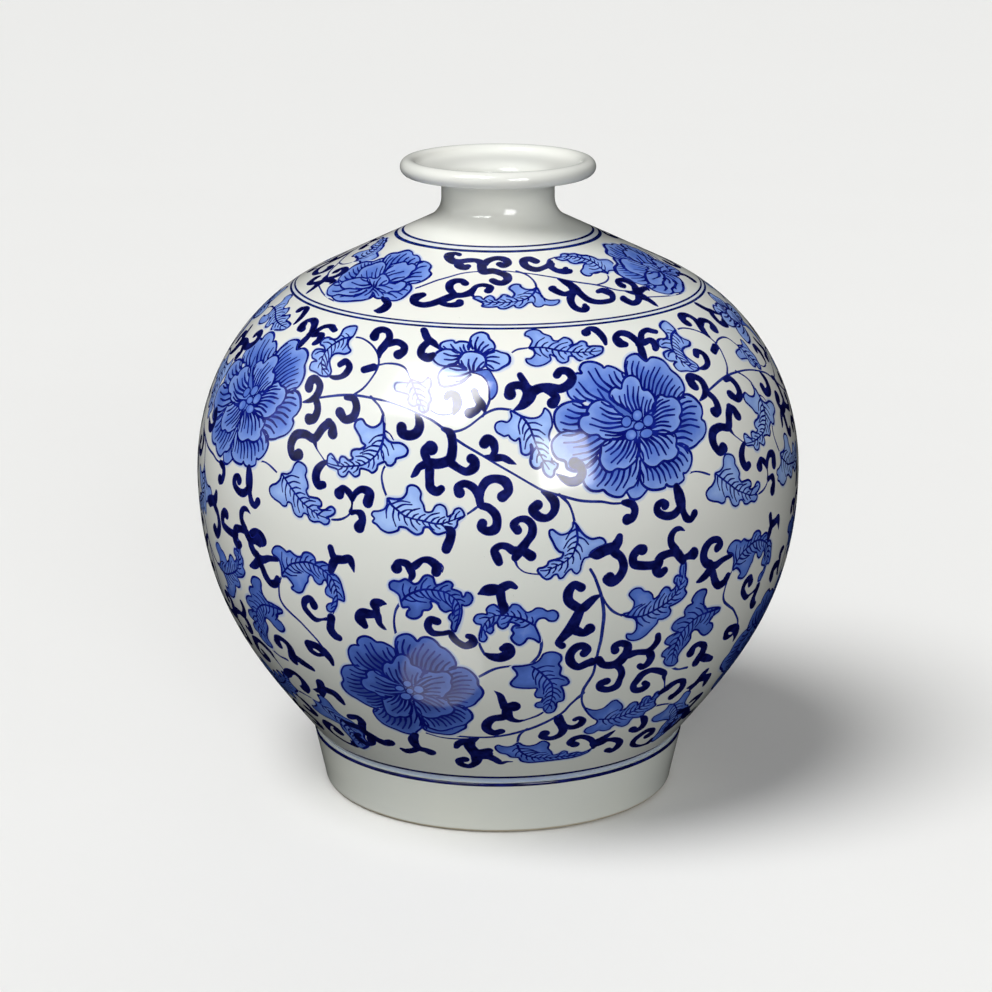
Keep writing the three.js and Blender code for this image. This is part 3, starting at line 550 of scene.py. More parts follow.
     (72.6, -9.4, 1.6), (73.8, -11.7, 1.6), (75.7, -12.8, 1.7), (76.1, -14.2, 1.9)],
    [(75.7, -14.6, 1.7), (73.8, -16.2, 1.5), (71.5, -17.3, 1.1), (70.1, -17.7, 0.5)],
    [(76, -13.4, 1.7), (78.4, -13.5, 1.4), (81.8, -12.3, 1.1), (86, -11.7, 0.9)],
    [(76.3, -14.4, 1.7), (77.6, -16.9, 1.5), (78.4, -19.2, 1.6), (80.3, -21.2, 1.5), (83, -20.8, 1.4),
     (84.9, -18.8, 1.3)],
]
lowerBand["leaves"] = [
    {"edge": [(-82.3, -9.5), (-81, -7.6), (-78.7, -6.8), (-76.4, -7.4), (-75.2, -8.1), (-73.7, -7.5),
      (-71.8, -8.4), (-70.2, -8.8), (-68.7, -8.4), (-67.7, -7), (-66, -6.5), (-64.1, -6.9), (-62.9, -8.1),
      (-62.7, -9.3), (-61.4, -9.1), (-59.7, -8.7), (-58.1, -9.2), (-57, -10.4), (-56.8, -12),
      (-54.8, -12.6), (-53.3, -14.2), (-52.5, -16.5), (-51.8, -19.5), (-52, -21.3), (-53.3, -21.1),
      (-54.3, -21.1), (-54.8, -23.4), (-56, -25.5), (-57.2, -26.3), (-58.5, -25.9), (-58.9, -24.5),
      (-58.1, -23.4), (-56.4, -22.6), (-56.2, -21.1), (-57.3, -20.7), (-58.9, -19.9), (-59.1, -18.4),
      (-58.1, -16.5), (-59.1, -14.9), (-59.8, -15.3), (-60.4, -16.5), (-61.8, -16.9), (-63.3, -15.9),
      (-64.1, -14.5), (-65, -14.2), (-66, -15.3), (-66.2, -16.8), (-67.2, -18), (-67.9, -19.5),
      (-68.9, -21.1), (-70.6, -21.8), (-72.5, -21.4), (-73.7, -20.7), (-72.7, -19.7), (-74.1, -18),
      (-75.8, -17), (-77.7, -17.2), (-77.9, -14.2), (-79.1, -11.5), (-82, -10.2)],
     "spine": [(-77.9, -16.8), (-76, -14.5), (-73.7, -12.2), (-69.8, -10.7), (-66, -9.9), (-62.9, -10.3),
      (-59.8, -11.5), (-56.8, -13.4), (-55.2, -16.1), (-54.5, -19.5), (-54.8, -23), (-56.4, -26.8),
      (-57.5, -28.4)]},
    {"edge": [(-31.6, -18.8), (-32.2, -16.5), (-33.7, -15.3), (-35.2, -14.5), (-35.4, -12.8),
      (-34.1, -11.7), (-32, -11.7), (-30, -10.7), (-28.5, -11.3), (-27.1, -12.2), (-25.8, -11.8),
      (-24.6, -10.3), (-23.8, -9.2), (-22.3, -8.8), (-20.8, -9.5), (-20.4, -10.9), (-19.8, -12),
      (-18.1, -11.5), (-16.5, -10.6), (-15.2, -10.7), (-14.4, -11.7), (-14.8, -13), (-13.5, -13.4),
      (-11.9, -14.2), (-11.3, -15.7), (-10.6, -15.3), (-10.2, -14.2), (-9, -14.3), (-8.1, -15.7),
      (-8.3, -17.2), (-9.2, -18.4), (-10.8, -18.8), (-11.5, -18.4), (-11.5, -21.1), (-12.1, -24.2),
      (-13.1, -26.8), (-13.8, -28.4), (-15, -27.2), (-14.8, -24.9), (-15.8, -23.4), (-15.4, -22.2),
      (-14.2, -21.1), (-15.2, -20.7), (-16.9, -21.3), (-18.5, -20.3), (-19.2, -18.8), (-20.4, -17.8),
      (-21.7, -18), (-21.3, -19.5), (-22.3, -20.9), (-24.2, -21.3), (-24.8, -23), (-26.2, -24.2),
      (-28.1, -24.5), (-29.7, -23.6), (-29.3, -21.8), (-28.7, -21.3), (-29.2, -20.5), (-31, -20.7)],
     "spine": [(-31.6, -18.8), (-29.6, -16.5), (-26.9, -14.9), (-23.8, -13.8), (-20, -13.8), (-16.9, -14.3),
      (-14.6, -15.7), (-13.1, -17.2), (-12.3, -19.2), (-12.5, -22.6), (-13.5, -26.5), (-14, -28.4)]},
    {"edge": [(3.8, -19.2), (4.6, -18.2), (6.5, -18.4), (7.9, -19.9), (9.2, -21.1), (10.8, -20.7),
      (12.3, -19.7), (14.2, -19.9), (15.8, -20.9), (17.7, -20.7), (19, -21.5), (19.4, -23), (18.5, -24.5),
      (16.5, -24.5), (15, -23.4), (13.1, -23.6), (12.1, -24.9), (11.9, -26.1), (12.3, -27.2), (13.5, -30.7),
      (13.3, -32.4), (11.5, -31.1), (9.6, -30.7), (8.5, -32.2), (6.9, -33.2), (5.2, -32.2), (4.2, -30.3),
      (5, -28.8), (4.4, -27.2), (5.2, -25.9), (6.9, -25.9), (3.8, -24.5), (2.9, -26.1), (1.5, -26.9),
      (0.2, -26.1), (-0.4, -24.5), (-1.5, -25.7), (-1.5, -27.6), (-2.5, -28.8), (-3.7, -28), (-4.2, -28.4),
      (-3.5, -30.3), (-4.4, -31.8), (-5.8, -31.5), (-6, -29.5), (-5.4, -26.8), (-5.4, -25.5), (-6.9, -25.1),
      (-7.8, -23.8), (-6.9, -22), (-5, -21.5), (-3.5, -21.7), (-3.7, -19.9), (-2.7, -18.6), (-1.2, -18.2),
      (0.4, -19.5), (2.2, -20.2)],
     "spine": [(11.9, -26.1), (9.6, -24.5), (6.9, -23.2), (3.8, -22.4), (0.8, -22), (-1.9, -22.6),
      (-3.8, -24.5), (-5, -27.2), (-5.4, -30.3)]},
    {"edge": [(12.1, -40.5), (13.8, -38.8), (14.6, -37.2), (16.5, -36.4), (18.7, -36.7), (20.4, -38),
      (20.6, -39.9), (19.8, -41.5), (20.6, -43.2), (20.3, -46), (22.5, -47.8), (23.3, -49.8), (22.5, -50.9),
      (20.8, -51.3), (21.4, -53.2), (21.8, -56.3), (21.4, -58.2), (19.5, -59), (19.3, -61.3), (18.3, -63.6),
      (16.4, -64.1), (15.2, -62.8), (14.8, -61.3), (12.9, -60.9), (12.2, -59.8), (12.7, -58.6), (14.1, -58),
      (14.5, -56.3), (12.7, -55.9), (12, -54.4), (12.7, -51.7), (10.2, -51.5), (6.8, -51.1), (4.7, -50.3),
      (4.1, -49), (5, -47.3), (6.2, -45.5), (6, -44.2), (4.8, -42), (8, -41.6)],
     "spine": [(11, -42), (12.7, -43.4), (15.2, -46.3), (17.5, -49.8), (17.9, -54), (17.5, -57.8),
      (16.4, -61.3), (15.6, -62.8)]},
    {"edge": [(65.8, -71.8), (68.1, -70.8), (69.2, -69.3), (70.4, -67.2), (71.9, -66.7), (73.7, -67.8),
      (73.5, -70.1), (72.7, -72), (72.5, -74.3), (73.5, -76.2), (75.4, -77.4), (75.4, -80.1), (73.8, -81.2),
      (73.8, -83.9), (71.2, -86.6), (69.6, -89.7), (66.9, -92), (63.5, -93.9), (60.4, -95.1), (59.2, -93.5),
      (60.8, -91.2), (61.9, -88.9), (62.7, -85.8), (64.2, -83.5), (65, -82), (62.3, -80.8), (59.2, -80.3),
      (57.3, -79.3), (56.5, -77.8), (57.3, -76.2), (59.6, -75.5), (61.9, -74.3), (63.1, -72.8),
      (63.6, -71.4)],
     "spine": [(65.8, -71.8), (66.9, -73.5), (68.8, -77), (69.6, -80.5), (69.2, -83.9), (67.7, -87.4),
      (65, -90.5), (61.5, -92.8)]},
    {"edge": [(29.2, -63.2), (31.2, -64.5), (33.5, -65.1), (35.8, -64.5), (37.7, -62.8), (38.8, -61.6),
      (40.4, -61.3), (41.5, -62.6), (42.7, -64.3), (43, -66.2), (42.1, -67.6), (44.6, -66.6), (45.8, -64.9),
      (47.3, -64.1), (48.8, -64.7), (49, -66.4), (50.4, -64.7), (50.8, -63.3), (52.3, -62.4), (53.8, -63),
      (54.2, -64.3), (55.4, -63.2), (55.8, -62), (56.9, -61.4), (58.1, -62.4), (57.9, -63.5), (56.5, -65.3),
      (56.3, -67.4), (56.9, -68.9), (55.4, -70.3), (52.7, -71.6), (51.9, -73.2), (50.4, -73.9),
      (47.7, -73.5), (46.5, -75.1), (45.8, -76.6), (44, -77.4), (42.3, -76.6), (40.8, -75.5), (39.6, -76.2),
      (38.5, -77.6), (36.2, -77.8), (34.4, -77), (32.7, -78.2), (30.8, -78.2), (29.4, -76.8), (29.8, -75.1),
      (31.5, -73.9), (33.3, -73), (33.8, -71.2), (32, -69), (30.2, -66)],
     "spine": [(34.6, -70.5), (37.7, -71.2), (40.8, -71.4), (44.6, -70.5), (48.5, -68.9), (51.9, -67),
      (54.6, -64.7), (56.9, -62)]},
    {"edge": [(5.2, -81.7), (3.3, -82.5), (1.4, -82.1), (0, -81.3), (-0.9, -82.5), (-0.5, -84.4),
      (1, -86.3), (2.9, -87.1), (4.5, -89), (6.8, -89.4), (7.9, -91.7), (10.2, -92.8), (14.1, -92.8),
      (19.8, -92.5), (22.3, -92.4), (25.8, -92.2), (29.2, -91.2), (31.2, -90.1), (32.5, -87.8),
      (31.2, -88.9), (28.8, -89.7), (27.3, -88.9), (25.4, -89.1), (23.8, -89.3), (23.5, -87.8),
      (22.2, -87.1), (20.6, -88.6), (18.7, -89), (17.9, -86.7), (16.8, -84.4), (17.2, -82.1), (16.4, -80.5),
      (14.8, -79.8), (12.9, -81.5), (10.6, -82.3), (8.3, -81.7), (6.8, -80.2)],
     "spine": [(6.5, -81.7), (7.2, -84.8), (9.1, -87.8), (12.2, -89.8), (16, -90.5), (20.6, -90.5),
      (23.8, -90.8), (28.5, -90.5), (31.5, -88.9)]},
    {"edge": [(41.5, -24.5), (43.8, -24), (45.1, -22.5), (45.3, -20.4), (44.2, -19), (43.4, -17.7),
      (44.2, -16.5), (45.7, -15.8), (47.6, -16), (49, -17.3), (50.7, -17.7), (52, -19), (52.6, -20.6),
      (54.5, -19.6), (55.5, -18.1), (57, -17.1), (58.6, -17.7), (59.2, -18.8), (60.7, -18.1), (61.3, -16.9),
      (60.3, -15.8), (60.7, -14.2), (61.8, -13.7), (62.8, -14.2), (62.6, -12.3), (63.2, -10), (64.1, -9.2),
      (64.9, -10), (65.1, -12.3), (64.9, -14.6), (65.9, -16.2), (65.7, -17.7), (64.9, -19.2), (65.7, -20.8),
      (64.5, -22.3), (62.6, -23.5), (60.3, -24.2), (58.8, -24.6), (59.5, -26.2), (58.8, -27.9),
      (56.5, -28.8), (54.7, -28.7), (54.2, -30), (52.2, -31.9), (49.9, -34), (47.2, -35.2), (44.5, -35),
      (43, -33.8), (43, -32.3), (44.9, -32.5), (46.3, -31.2), (46.5, -28.8), (45.9, -27.1), (44.9, -26.3),
      (42.6, -25.6)],
     "spine": [(40.7, -24.6), (44.9, -26), (48.8, -26.2), (52.6, -25), (56.5, -23.5), (60.3, -21.2),
      (62.6, -18.1), (63.8, -14.6), (64.2, -10.8)]},
    {"edge": [(82.2, -30.4), (78, -29.2), (74.9, -28.8), (73.8, -26.9), (73.8, -24.6), (74.7, -22.7),
      (74.5, -21.5), (72.6, -21), (70.3, -21.5), (68.8, -22.9), (68.2, -24.2), (68.8, -25.2), (66.5, -26),
      (65.3, -27.5), (65.5, -29.6), (63.4, -30), (61.1, -31.3), (60.3, -33.1), (61.5, -34.6), (63.2, -35.2),
      (61.1, -35.8), (58.8, -36.7), (57.8, -38.5), (58.8, -39.6), (60.3, -40.4), (58.8, -41.3),
      (57.2, -42.7), (57, -44.2), (58.4, -45.2), (58, -46.9), (59.2, -48.8), (60.7, -49.6), (62.6, -49.8),
      (64, -48.5), (63.8, -46.2), (65.3, -43.5), (67.2, -41.7), (68.8, -39.6), (69, -37.3), (70.3, -36.2),
      (72.2, -36.9), (73.4, -38.5), (75.3, -39.8), (77.6, -39.4), (79.2, -37.7), (78.8, -35.8), (77.4, -35),
      (77.6, -33.5), (79.9, -32.3), (81.8, -31.5)],
     "spine": [(82, -30.4), (77, -30.5), (72, -31), (68, -33), (65, -35.5), (63, -39), (62, -43),
      (61.5, -48.5)]},
]
lowerBand["blossoms"] = [
    {
        "tones": (0.14, 0.42),
        "petals": [
            [(-25, -72), (-25, -74), (-23, -75.4), (-20, -76), (-15.8, -76), (-13.5, -74.5), (-12, -72.9),
             (-10.8, -71.8), (-10.5, -69.8), (-29.4, -54.8)],
            [(-33.2, -37.2), (-33.9, -37.2), (-35.1, -36.2), (-36.6, -35.4), (-38.5, -34.8), (-40.3, -35),
             (-41, -34.7), (-42.4, -33.7), (-44.3, -33.3), (-46.2, -33.9), (-47.4, -35.2), (-47.6, -36.8),
             (-47, -37.5), (-48.5, -37.5), (-50.1, -38.3), (-51, -39.8), (-51.2, -41.8), (-50.8, -43.7),
             (-49.7, -46), (-48.5, -46.8), (-29.4, -54.8)],
            [(-33.7, -39.2), (-33.7, -37.2), (-33.9, -34.8), (-33.2, -32.2), (-31.2, -30.8), (-29.3, -30.5),
             (-27.8, -31.2), (-26.2, -32.9), (-25.1, -31.6), (-23.2, -31), (-21.2, -31.6), (-19.7, -32.9),
             (-18.7, -34.3), (-17, -35.2), (-15.3, -37), (-14.1, -39.1), (-13.6, -41.4), (-15.1, -44.5),
             (-29.4, -54.8)],
            [(-15.6, -43), (-13.9, -42.5), (-11.2, -42.5), (-9.3, -43.5), (-7.8, -45.2), (-6.6, -47.5),
             (-6.4, -49.7), (-5.3, -51.4), (-4.8, -53.3), (-5.3, -55.2), (-6.6, -57.2), (-7.8, -59.1),
             (-10.1, -60.6), (-12.4, -60.8), (-14.3, -60.6), (-29.4, -54.8)],
            [(-25.4, -66.8), (-25.1, -68.7), (-24.7, -71), (-23.5, -72.7), (-21.2, -73.9), (-19.3, -74.3),
             (-17.4, -73.7), (-13.9, -71.4), (-10.8, -69.8), (-9.7, -68.3), (-8.5, -66.4), (-8.5, -64.1),
             (-9.7, -61.8), (-11.2, -60.8), (-29.4, -54.8)],
            [(-41, -66.4), (-42.8, -66.8), (-43.2, -68.7), (-42.4, -71), (-41.2, -72.9), (-39.3, -74.8),
             (-37, -76), (-34.7, -76.8), (-32.8, -77.7), (-30.5, -78.2), (-28.2, -77.5), (-27.4, -76),
             (-25.8, -73.7), (-25.5, -71.4), (-25.8, -68.7), (-27, -66), (-29.4, -54.8)],
            [(-47.6, -46.4), (-49.3, -46.4), (-51.2, -46.8), (-53.2, -47.7), (-54.3, -49.5), (-54.7, -51.4),
             (-54.1, -53.7), (-54.1, -55), (-54.9, -56.4), (-54.7, -58.3), (-53.5, -60.2), (-51.6, -61.8),
             (-49.3, -62.9), (-47.4, -64.1), (-45.5, -65.2), (-43.5, -66), (-41.2, -66.4), (-29.4, -54.8)],
        ],
        "innerPetals": [
            [(-33.5, -52.5), (-35.1, -51), (-37, -49.5), (-38.5, -47.5), (-38.7, -45.6), (-38.2, -43.7),
             (-37, -42.7), (-35.5, -42.9), (-34.5, -41), (-33.5, -39.5), (-31.6, -38.7), (-29.7, -39.3),
             (-28.7, -40.8), (-28.3, -42.5), (-26.6, -43.1), (-25.1, -44.1), (-24.3, -46), (-24.3, -48.3),
             (-25.5, -50.6), (-27, -52.2), (-29.4, -54.8)],
            [(-33, -51.8), (-35.1, -51), (-38.2, -49.1), (-40.1, -47.2), (-42, -47), (-43.9, -47.7),
             (-44.9, -49.3), (-44.7, -51), (-46.6, -52.2), (-47, -53.9), (-46.4, -55.6), (-44.7, -57.2),
             (-42, -57.9), (-40.5, -59.1), (-38.2, -59.3), (-35.8, -58.7), (-33.2, -57.5), (-29.4, -54.8)],
            [(-25.2, -47.5), (-24.1, -45.2), (-22.4, -44.8), (-20.1, -45), (-18.2, -44.5), (-16.2, -44.8),
             (-14.9, -46.8), (-15.3, -49.1), (-14.9, -50.6), (-15.5, -52.9), (-17, -54.8), (-17.8, -56.4),
             (-20.5, -56.8), (-23.5, -56.4), (-29.4, -54.8)],
            [(-36, -58.9), (-39.3, -59.8), (-39.3, -62.5), (-38.9, -64.8), (-38.2, -67.5), (-36.6, -69.1),
             (-34.7, -69.5), (-33.2, -68.7), (-31.2, -68.6), (-29.7, -67.5), (-28.9, -65.2), (-28.7, -62.5),
             (-29.3, -60.2), (-29.4, -54.8)],
            [(-28.2, -59.5), (-27.8, -61.8), (-27.2, -64.5), (-25.8, -66.4), (-23.9, -67.5), (-21.6, -67.5),
             (-19.7, -66.8), (-18.5, -65.8), (-16.6, -65.2), (-14.9, -63.7), (-14.3, -61.8), (-15.3, -60.2),
             (-16.2, -58.7), (-16.6, -56.8), (-20, -56.7), (-29.4, -54.8)],
        ],
        "berries": [(-30.8, -57.5, 2, 1.7), (-26.4, -57.2, 2, 1.6), (-32.8, -53.9, 1.7, 1.3),
         (-26.2, -53.5, 1.85, 1.85), (-30.1, -51.4, 1.55, 1.55), (-29.3, -54.7, 1.4, 1.4)],
    },
]

shoulderBand = {
    "copies": 3,
    "period": 120.0,
    "leafTone": 0.78,
}
shoulderBand["stems"] = [
    (0.28, [(-45.3, 86.5), (-48.8, 84.2), (-53, 82.9), (-57.2, 81.5), (-62.6, 80.6), (-68.4, 81.2),
     (-73, 82.3), (-78, 83.8)]),
    (0.3, [(12.7, 96.2), (12.3, 98.8), (11, 101.5), (9.1, 103.8), (6.8, 105.2)]),
    (0.25, [(-29.9, 93.1), (-26.8, 95), (-23, 97.7), (-20.2, 99.6), (-16.3, 101.7), (-12.5, 103.8),
     (-8.6, 105), (-4, 105.6), (2.2, 105.8), (5.2, 105.2), (9.8, 104.2), (14.5, 102.7), (20.2, 100.6),
     (24.1, 98.7), (28.7, 96.9), (32.9, 95.4), (34.9, 94.6), (38.8, 92.7), (42.6, 90.6), (46.5, 89.2)]),
    (0.35, [(16.8, 109.2), (17.5, 110.8), (19.5, 111.7)]),
    (0.33, [(40.5, 99.6), (40.5, 96.9), (38.8, 95.4), (35.7, 94.8)]),
]
shoulderBand["scrolls"] = [
    [(-40.8, 87, 0.8), (-40.3, 86.2, 1.1), (-38.4, 84.6, 1.6), (-39.2, 82.3, 1.6), (-41.8, 80.4, 1.2),
     (-43.2, 80.2, 0.5)],
    [(-25.3, 91.2, 1.2), (-28, 89.2, 1.8), (-28.4, 86.9, 1.5), (-25.3, 85.8, 1.4), (-22.3, 86.7, 1.4),
     (-19.4, 88.5, 1.5), (-16.7, 90.4, 1.6), (-14.4, 91.9, 1.5), (-11.7, 92.3, 1.3), (-9.4, 93.5, 1.5),
     (-8.2, 95.4, 1.1), (-7.1, 97.3, 0.9), (-4.8, 98.1, 1), (-2.5, 96.9, 1.2), (-3.2, 95, 1.4)],
    [(-14.2, 92, 1.3), (-14.8, 93.1, 1.3), (-16.1, 95.4, 1.4), (-15.9, 98.1, 1.4), (-14, 99.8, 1.3),
     (-11.9, 99.9, 1.3), (-10.9, 98.7, 1.4)],
    [(-19, 88, 1.2), (-18.2, 87.3, 1.2), (-15.5, 86.7, 1.2), (-12.8, 87.7, 1.5), (-12.5, 88.8, 1.3)],
    [(-9.2, 93.6, 1), (-8.4, 92.4, 0.7), (-7.6, 91.3, 0.3)],
    [(-13.2, 114.2, 1), (-14.8, 114.6, 0.9), (-16.7, 112.7, 2), (-15.2, 110.2, 1.6), (-12.8, 110.4, 1.2),
     (-9.8, 111.3, 1.2), (-7.1, 111.3, 1.2), (-5.5, 110, 1.6), (-5.3, 107.3, 1.6), (-4.8, 105.4, 1.6),
     (-1.7, 105.8, 1.5), (1, 104.6, 1.4), (2.9, 103.1, 1.5), (3.1, 100.8, 1.4), (1.4, 99.2, 1.4),
     (-0.5, 99.6, 1.4), (-1.7, 100.6, 1.3)],
    [(-14, 110.4, 1.3), (-13.2, 110, 1.5), (-13.2, 108.1, 1.6), (-10.9, 107.5, 1.6), (-10, 108.1, 1.1)],
    [(-5.2, 108.6, 1.4), (-4.8, 109.2, 1.4), (-3.2, 111.5, 1.3), (-0.2, 112.9, 1.2), (2.5, 111.9, 1.4),
     (3.3, 110, 1.3), (1.8, 108.7, 1.3), (0.6, 109.6, 1.3)],
    [(12.9, 110.4, 1.3), (10.6, 111.9, 1.4), (8.7, 111.5, 1.5), (8.7, 109.2, 1.4), (10.6, 106.9, 1.3),
     (13.3, 106, 1.3), (16, 107.1, 1.2), (17.9, 108.1, 1.6)],
    [(17.9, 108.1, 1.4), (17.9, 109.6, 1)],
    [(17.9, 107.6, 1.2), (18.3, 106.5, 1.1), (20.2, 104.6, 1.1), (22.9, 103.8, 1.5), (24.8, 103.5, 1.3)],
    [(22.8, 104, 1.3), (23.3, 105, 1.2)],
    [(20.2, 100.2, 0.3), (22.5, 98.5, 1.2), (24.8, 96.2, 1.5), (26.4, 93.5, 1.8), (27.9, 91.5, 1.3),
     (30.5, 88, 1.3), (33.4, 86.2, 1.2), (37.6, 85.6, 1.2), (40.3, 86.2, 1.2), (40.5, 88.5, 1.3),
     (38.8, 90.4, 1.5), (36.5, 91.5, 1.3), (35.1, 91.3, 1.1)],
    [(26.4, 93, 1.5), (25.2, 92.3, 1.6), (22.2, 91.9, 1.2), (20.2, 93.1, 1.3), (18.3, 95, 1.4),
     (18.2, 95.3, 1.5)],
    [(25.4, 92.2, 1.5), (24.5, 90, 1.5), (24.5, 87.3, 1.3), (25.6, 84.6, 1.2), (27.5, 83.1, 1.2),
     (29.4, 83.4, 1.7), (29.3, 85.2, 0.9)],
    [(46.8, 91.5, 1.1), (44.9, 93.1, 1.3), (44.2, 94.8, 1.1), (46.5, 94.8, 1.1), (49.5, 93.5, 1.3),
     (51.5, 91.2, 1.4), (52, 88.5, 2), (52.6, 85.8, 2), (51.1, 83.1, 1.5), (48.8, 82.7, 1.2),
     (46.5, 84.2, 1.3), (44.9, 85.8, 1.4)],
    [(52.4, 87.5, 1.7), (54.2, 87.7, 1.6), (56.5, 88.1, 1.2), (58, 87.7, 0.9), (58.8, 86.7, 0.4)],
    [(52.8, 85.6, 1.6), (54.2, 84.6, 1.4), (56.5, 82.7, 1), (58.8, 80.4, 0.8), (60.3, 78.9, 0.3)],
    [(51, 87.4, 1.2), (49.5, 87.7, 0.9), (46.5, 89.2, 0.4)],
]
shoulderBand["leaves"] = [
    {"edge": [(-7.1, 91.9), (-5.7, 91.7), (-4.8, 90.4), (-4, 91.5), (-2.5, 92.4), (-1.3, 91.3), (-0.9, 90),
      (0.6, 91.3), (1.6, 92.9), (2.9, 92.7), (4.5, 91.5), (5.4, 93.1), (4.8, 94.6), (3.7, 96.2),
      (4.3, 97.7), (5.8, 98.5), (7.2, 98.1), (7.5, 97.1), (9.1, 95.6), (11.4, 95.4), (12.7, 96.2),
      (13.9, 93.1), (14.5, 91.2), (16.4, 89.4), (18.7, 89), (20.2, 89), (20.2, 87.7), (18.7, 86.5),
      (16.8, 86.5), (15.2, 86.9), (14.1, 86), (12.7, 86), (11.8, 86.9), (11.2, 88.5), (9.8, 88.3),
      (8.7, 86.9), (7.2, 85.8), (5.8, 86.2), (5.2, 87.3), (3.7, 86.2), (2.2, 85.4), (0.6, 85.6),
      (-0.2, 86.5), (-1.7, 86.3), (-3.6, 86.2), (-5.2, 86.7), (-4.8, 88.1), (-5.9, 89.2), (-8, 91)],
     "spine": [(12.7, 96), (11.4, 92.7), (9.1, 90.4), (6, 89.2), (2.2, 88.8), (-1.7, 88.8), (-4.8, 89.2),
      (-7.1, 90.4)]},
    {"edge": [(19.8, 111.5), (22, 111.9), (22.2, 112.9), (23.7, 113.1), (25.6, 112.5), (27.9, 112.3),
      (29.8, 111.3), (31.8, 110.6), (33, 110.4), (34.5, 109.6), (36.5, 108.5), (38.4, 106.9), (41.1, 106.3),
      (43.4, 105.6), (44.9, 104.2), (46.1, 101.9), (48, 100.8), (48.6, 99.6), (47.2, 99), (45.3, 99.6),
      (43.4, 100.4), (41.5, 100.4), (40.7, 99.2), (39.9, 100), (36.8, 101), (34.2, 100.8), (33, 99.8),
      (31.5, 100), (29.9, 101.3), (29.3, 102.9), (30.3, 104.2), (30.9, 105.8), (32.2, 106.5), (30.3, 107.1),
      (27.5, 107.1), (25.6, 108.1), (24.5, 109.4), (22.5, 109.6), (21, 110.4)],
     "spine": [(40.5, 100), (38.8, 101.9), (37.2, 104.2), (35.3, 106.5), (32.6, 108.5), (29.5, 110),
      (27.2, 111), (24.1, 111.7), (21.4, 111.2)]},
]
shoulderBand["blossoms"] = [
    {
        "tones": (0.4, 0.68),
        "petals": [
            [(-29, 105), (-28.5, 108), (-26.8, 108.5), (-24.5, 108.1), (-23.2, 106.5), (-23.8, 104.2),
             (-22.9, 102.7), (-23.4, 101.2), (-25.3, 98.8), (-28, 96.9), (-31.1, 95.8), (-46, 92.5)],
            [(-31.6, 96.6), (-30.3, 95.4), (-29.9, 93.5), (-31.1, 90.8), (-33, 88.1), (-35.3, 86.5),
             (-37.6, 86.2), (-38.8, 87.3), (-41.1, 86.5), (-43.4, 86.2), (-45.3, 87.3), (-46.1, 89.2),
             (-46, 92.5)],
            [(-66, 82.2), (-62.6, 81), (-57.2, 81.7), (-53, 82.9), (-48.8, 84.2), (-45.3, 86.5),
             (-45.8, 88.5), (-46, 92.5)],
            [(-62.4, 88.9), (-63.8, 89.2), (-66.8, 88.8), (-68.8, 87.3), (-70.3, 84.8), (-69.2, 82.5),
             (-67.2, 82.1), (-64.9, 82.5), (-62.6, 83.7), (-58, 84.2), (-54.2, 85), (-51.1, 86.5),
             (-49.5, 88.1), (-46, 92.5)],
            [(-65.2, 88.6), (-67.2, 89.6), (-66.8, 92.3), (-64.9, 95.4), (-62.6, 98.1), (-59.5, 100),
             (-56.5, 101.5), (-51.8, 102.7), (-48.8, 104.6), (-46.3, 105.6), (-45, 104), (-46, 92.5)],
            [(-46.2, 104), (-46.1, 105.8), (-44.5, 108.1), (-42.2, 109.4), (-39.5, 110.2), (-36.5, 111.9),
             (-34.2, 112.7), (-32.2, 112.1), (-31.5, 111), (-29.5, 111), (-28.2, 109.8), (-28, 108.3),
             (-29, 105.8), (-46, 92.5)],
        ],
        "innerPetals": [
            [(-52.5, 90.6), (-56.8, 92.2), (-57.4, 94), (-56.8, 95.4), (-56.5, 97.7), (-54.2, 100),
             (-51.8, 101.2), (-49.5, 102.7), (-47.2, 103.8), (-45.3, 104.2), (-43.4, 103.1), (-43.2, 100),
             (-43.6, 97), (-46, 92.5)],
            [(-43, 98), (-42.2, 100.8), (-40.7, 103.8), (-38, 105.2), (-35.3, 106.5), (-33.8, 106.7),
             (-32.8, 105.6), (-31.1, 106.5), (-29.3, 105.8), (-29.2, 103.8), (-30.5, 102.3), (-31.3, 100),
             (-33, 98.1), (-35.3, 96.5), (-38.4, 95.4), (-46, 92.5)],
            [(-47.4, 90.6), (-49.9, 89.6), (-53.4, 88.5), (-57.6, 87.9), (-60.3, 87), (-62.6, 87.3),
             (-63.8, 88.1), (-63.2, 89.8), (-61.1, 91.2), (-57.2, 93.1), (-53.4, 94.4), (-50.7, 94.6),
             (-46, 92.5)],
            [(-40.4, 94.6), (-38.8, 95), (-36.1, 95.4), (-34.5, 96.7), (-32.4, 96.5), (-32, 95),
             (-33, 93.1), (-34.5, 91.5), (-37.6, 90.8), (-39.5, 89.6), (-41.8, 89.6), (-44.2, 90.8),
             (-46, 92.5)],
            [(-48, 92.3), (-49.9, 93.8), (-49.5, 95.4), (-47.2, 95.4), (-45.3, 96.2), (-44.2, 98.1),
             (-42.2, 98.7), (-40.7, 97.7), (-39.5, 96.2), (-39.7, 94.6), (-41.1, 93.5), (-43.4, 92.7),
             (-45, 91.9)],
        ],
    },
]

ringLines = {  # lower and upper edge of each painted circle, up the tape, and its coat
    "foot": (-102.8, -101.5, "scroll"),
    "shoulderLower": (75.5, 76.4, "ring"),
    "shoulderUpper": (77.27, 78.0, "ring"),
    "collar": (115.85, 117.2, "ring"),
}
ringBands = {  # lower and upper edge of the run colour beside the circles, and how strong it is
    "foot": (-106.0, -102.8, 0.55),
    "shoulder": (76.4, 77.27, 0.16),
}

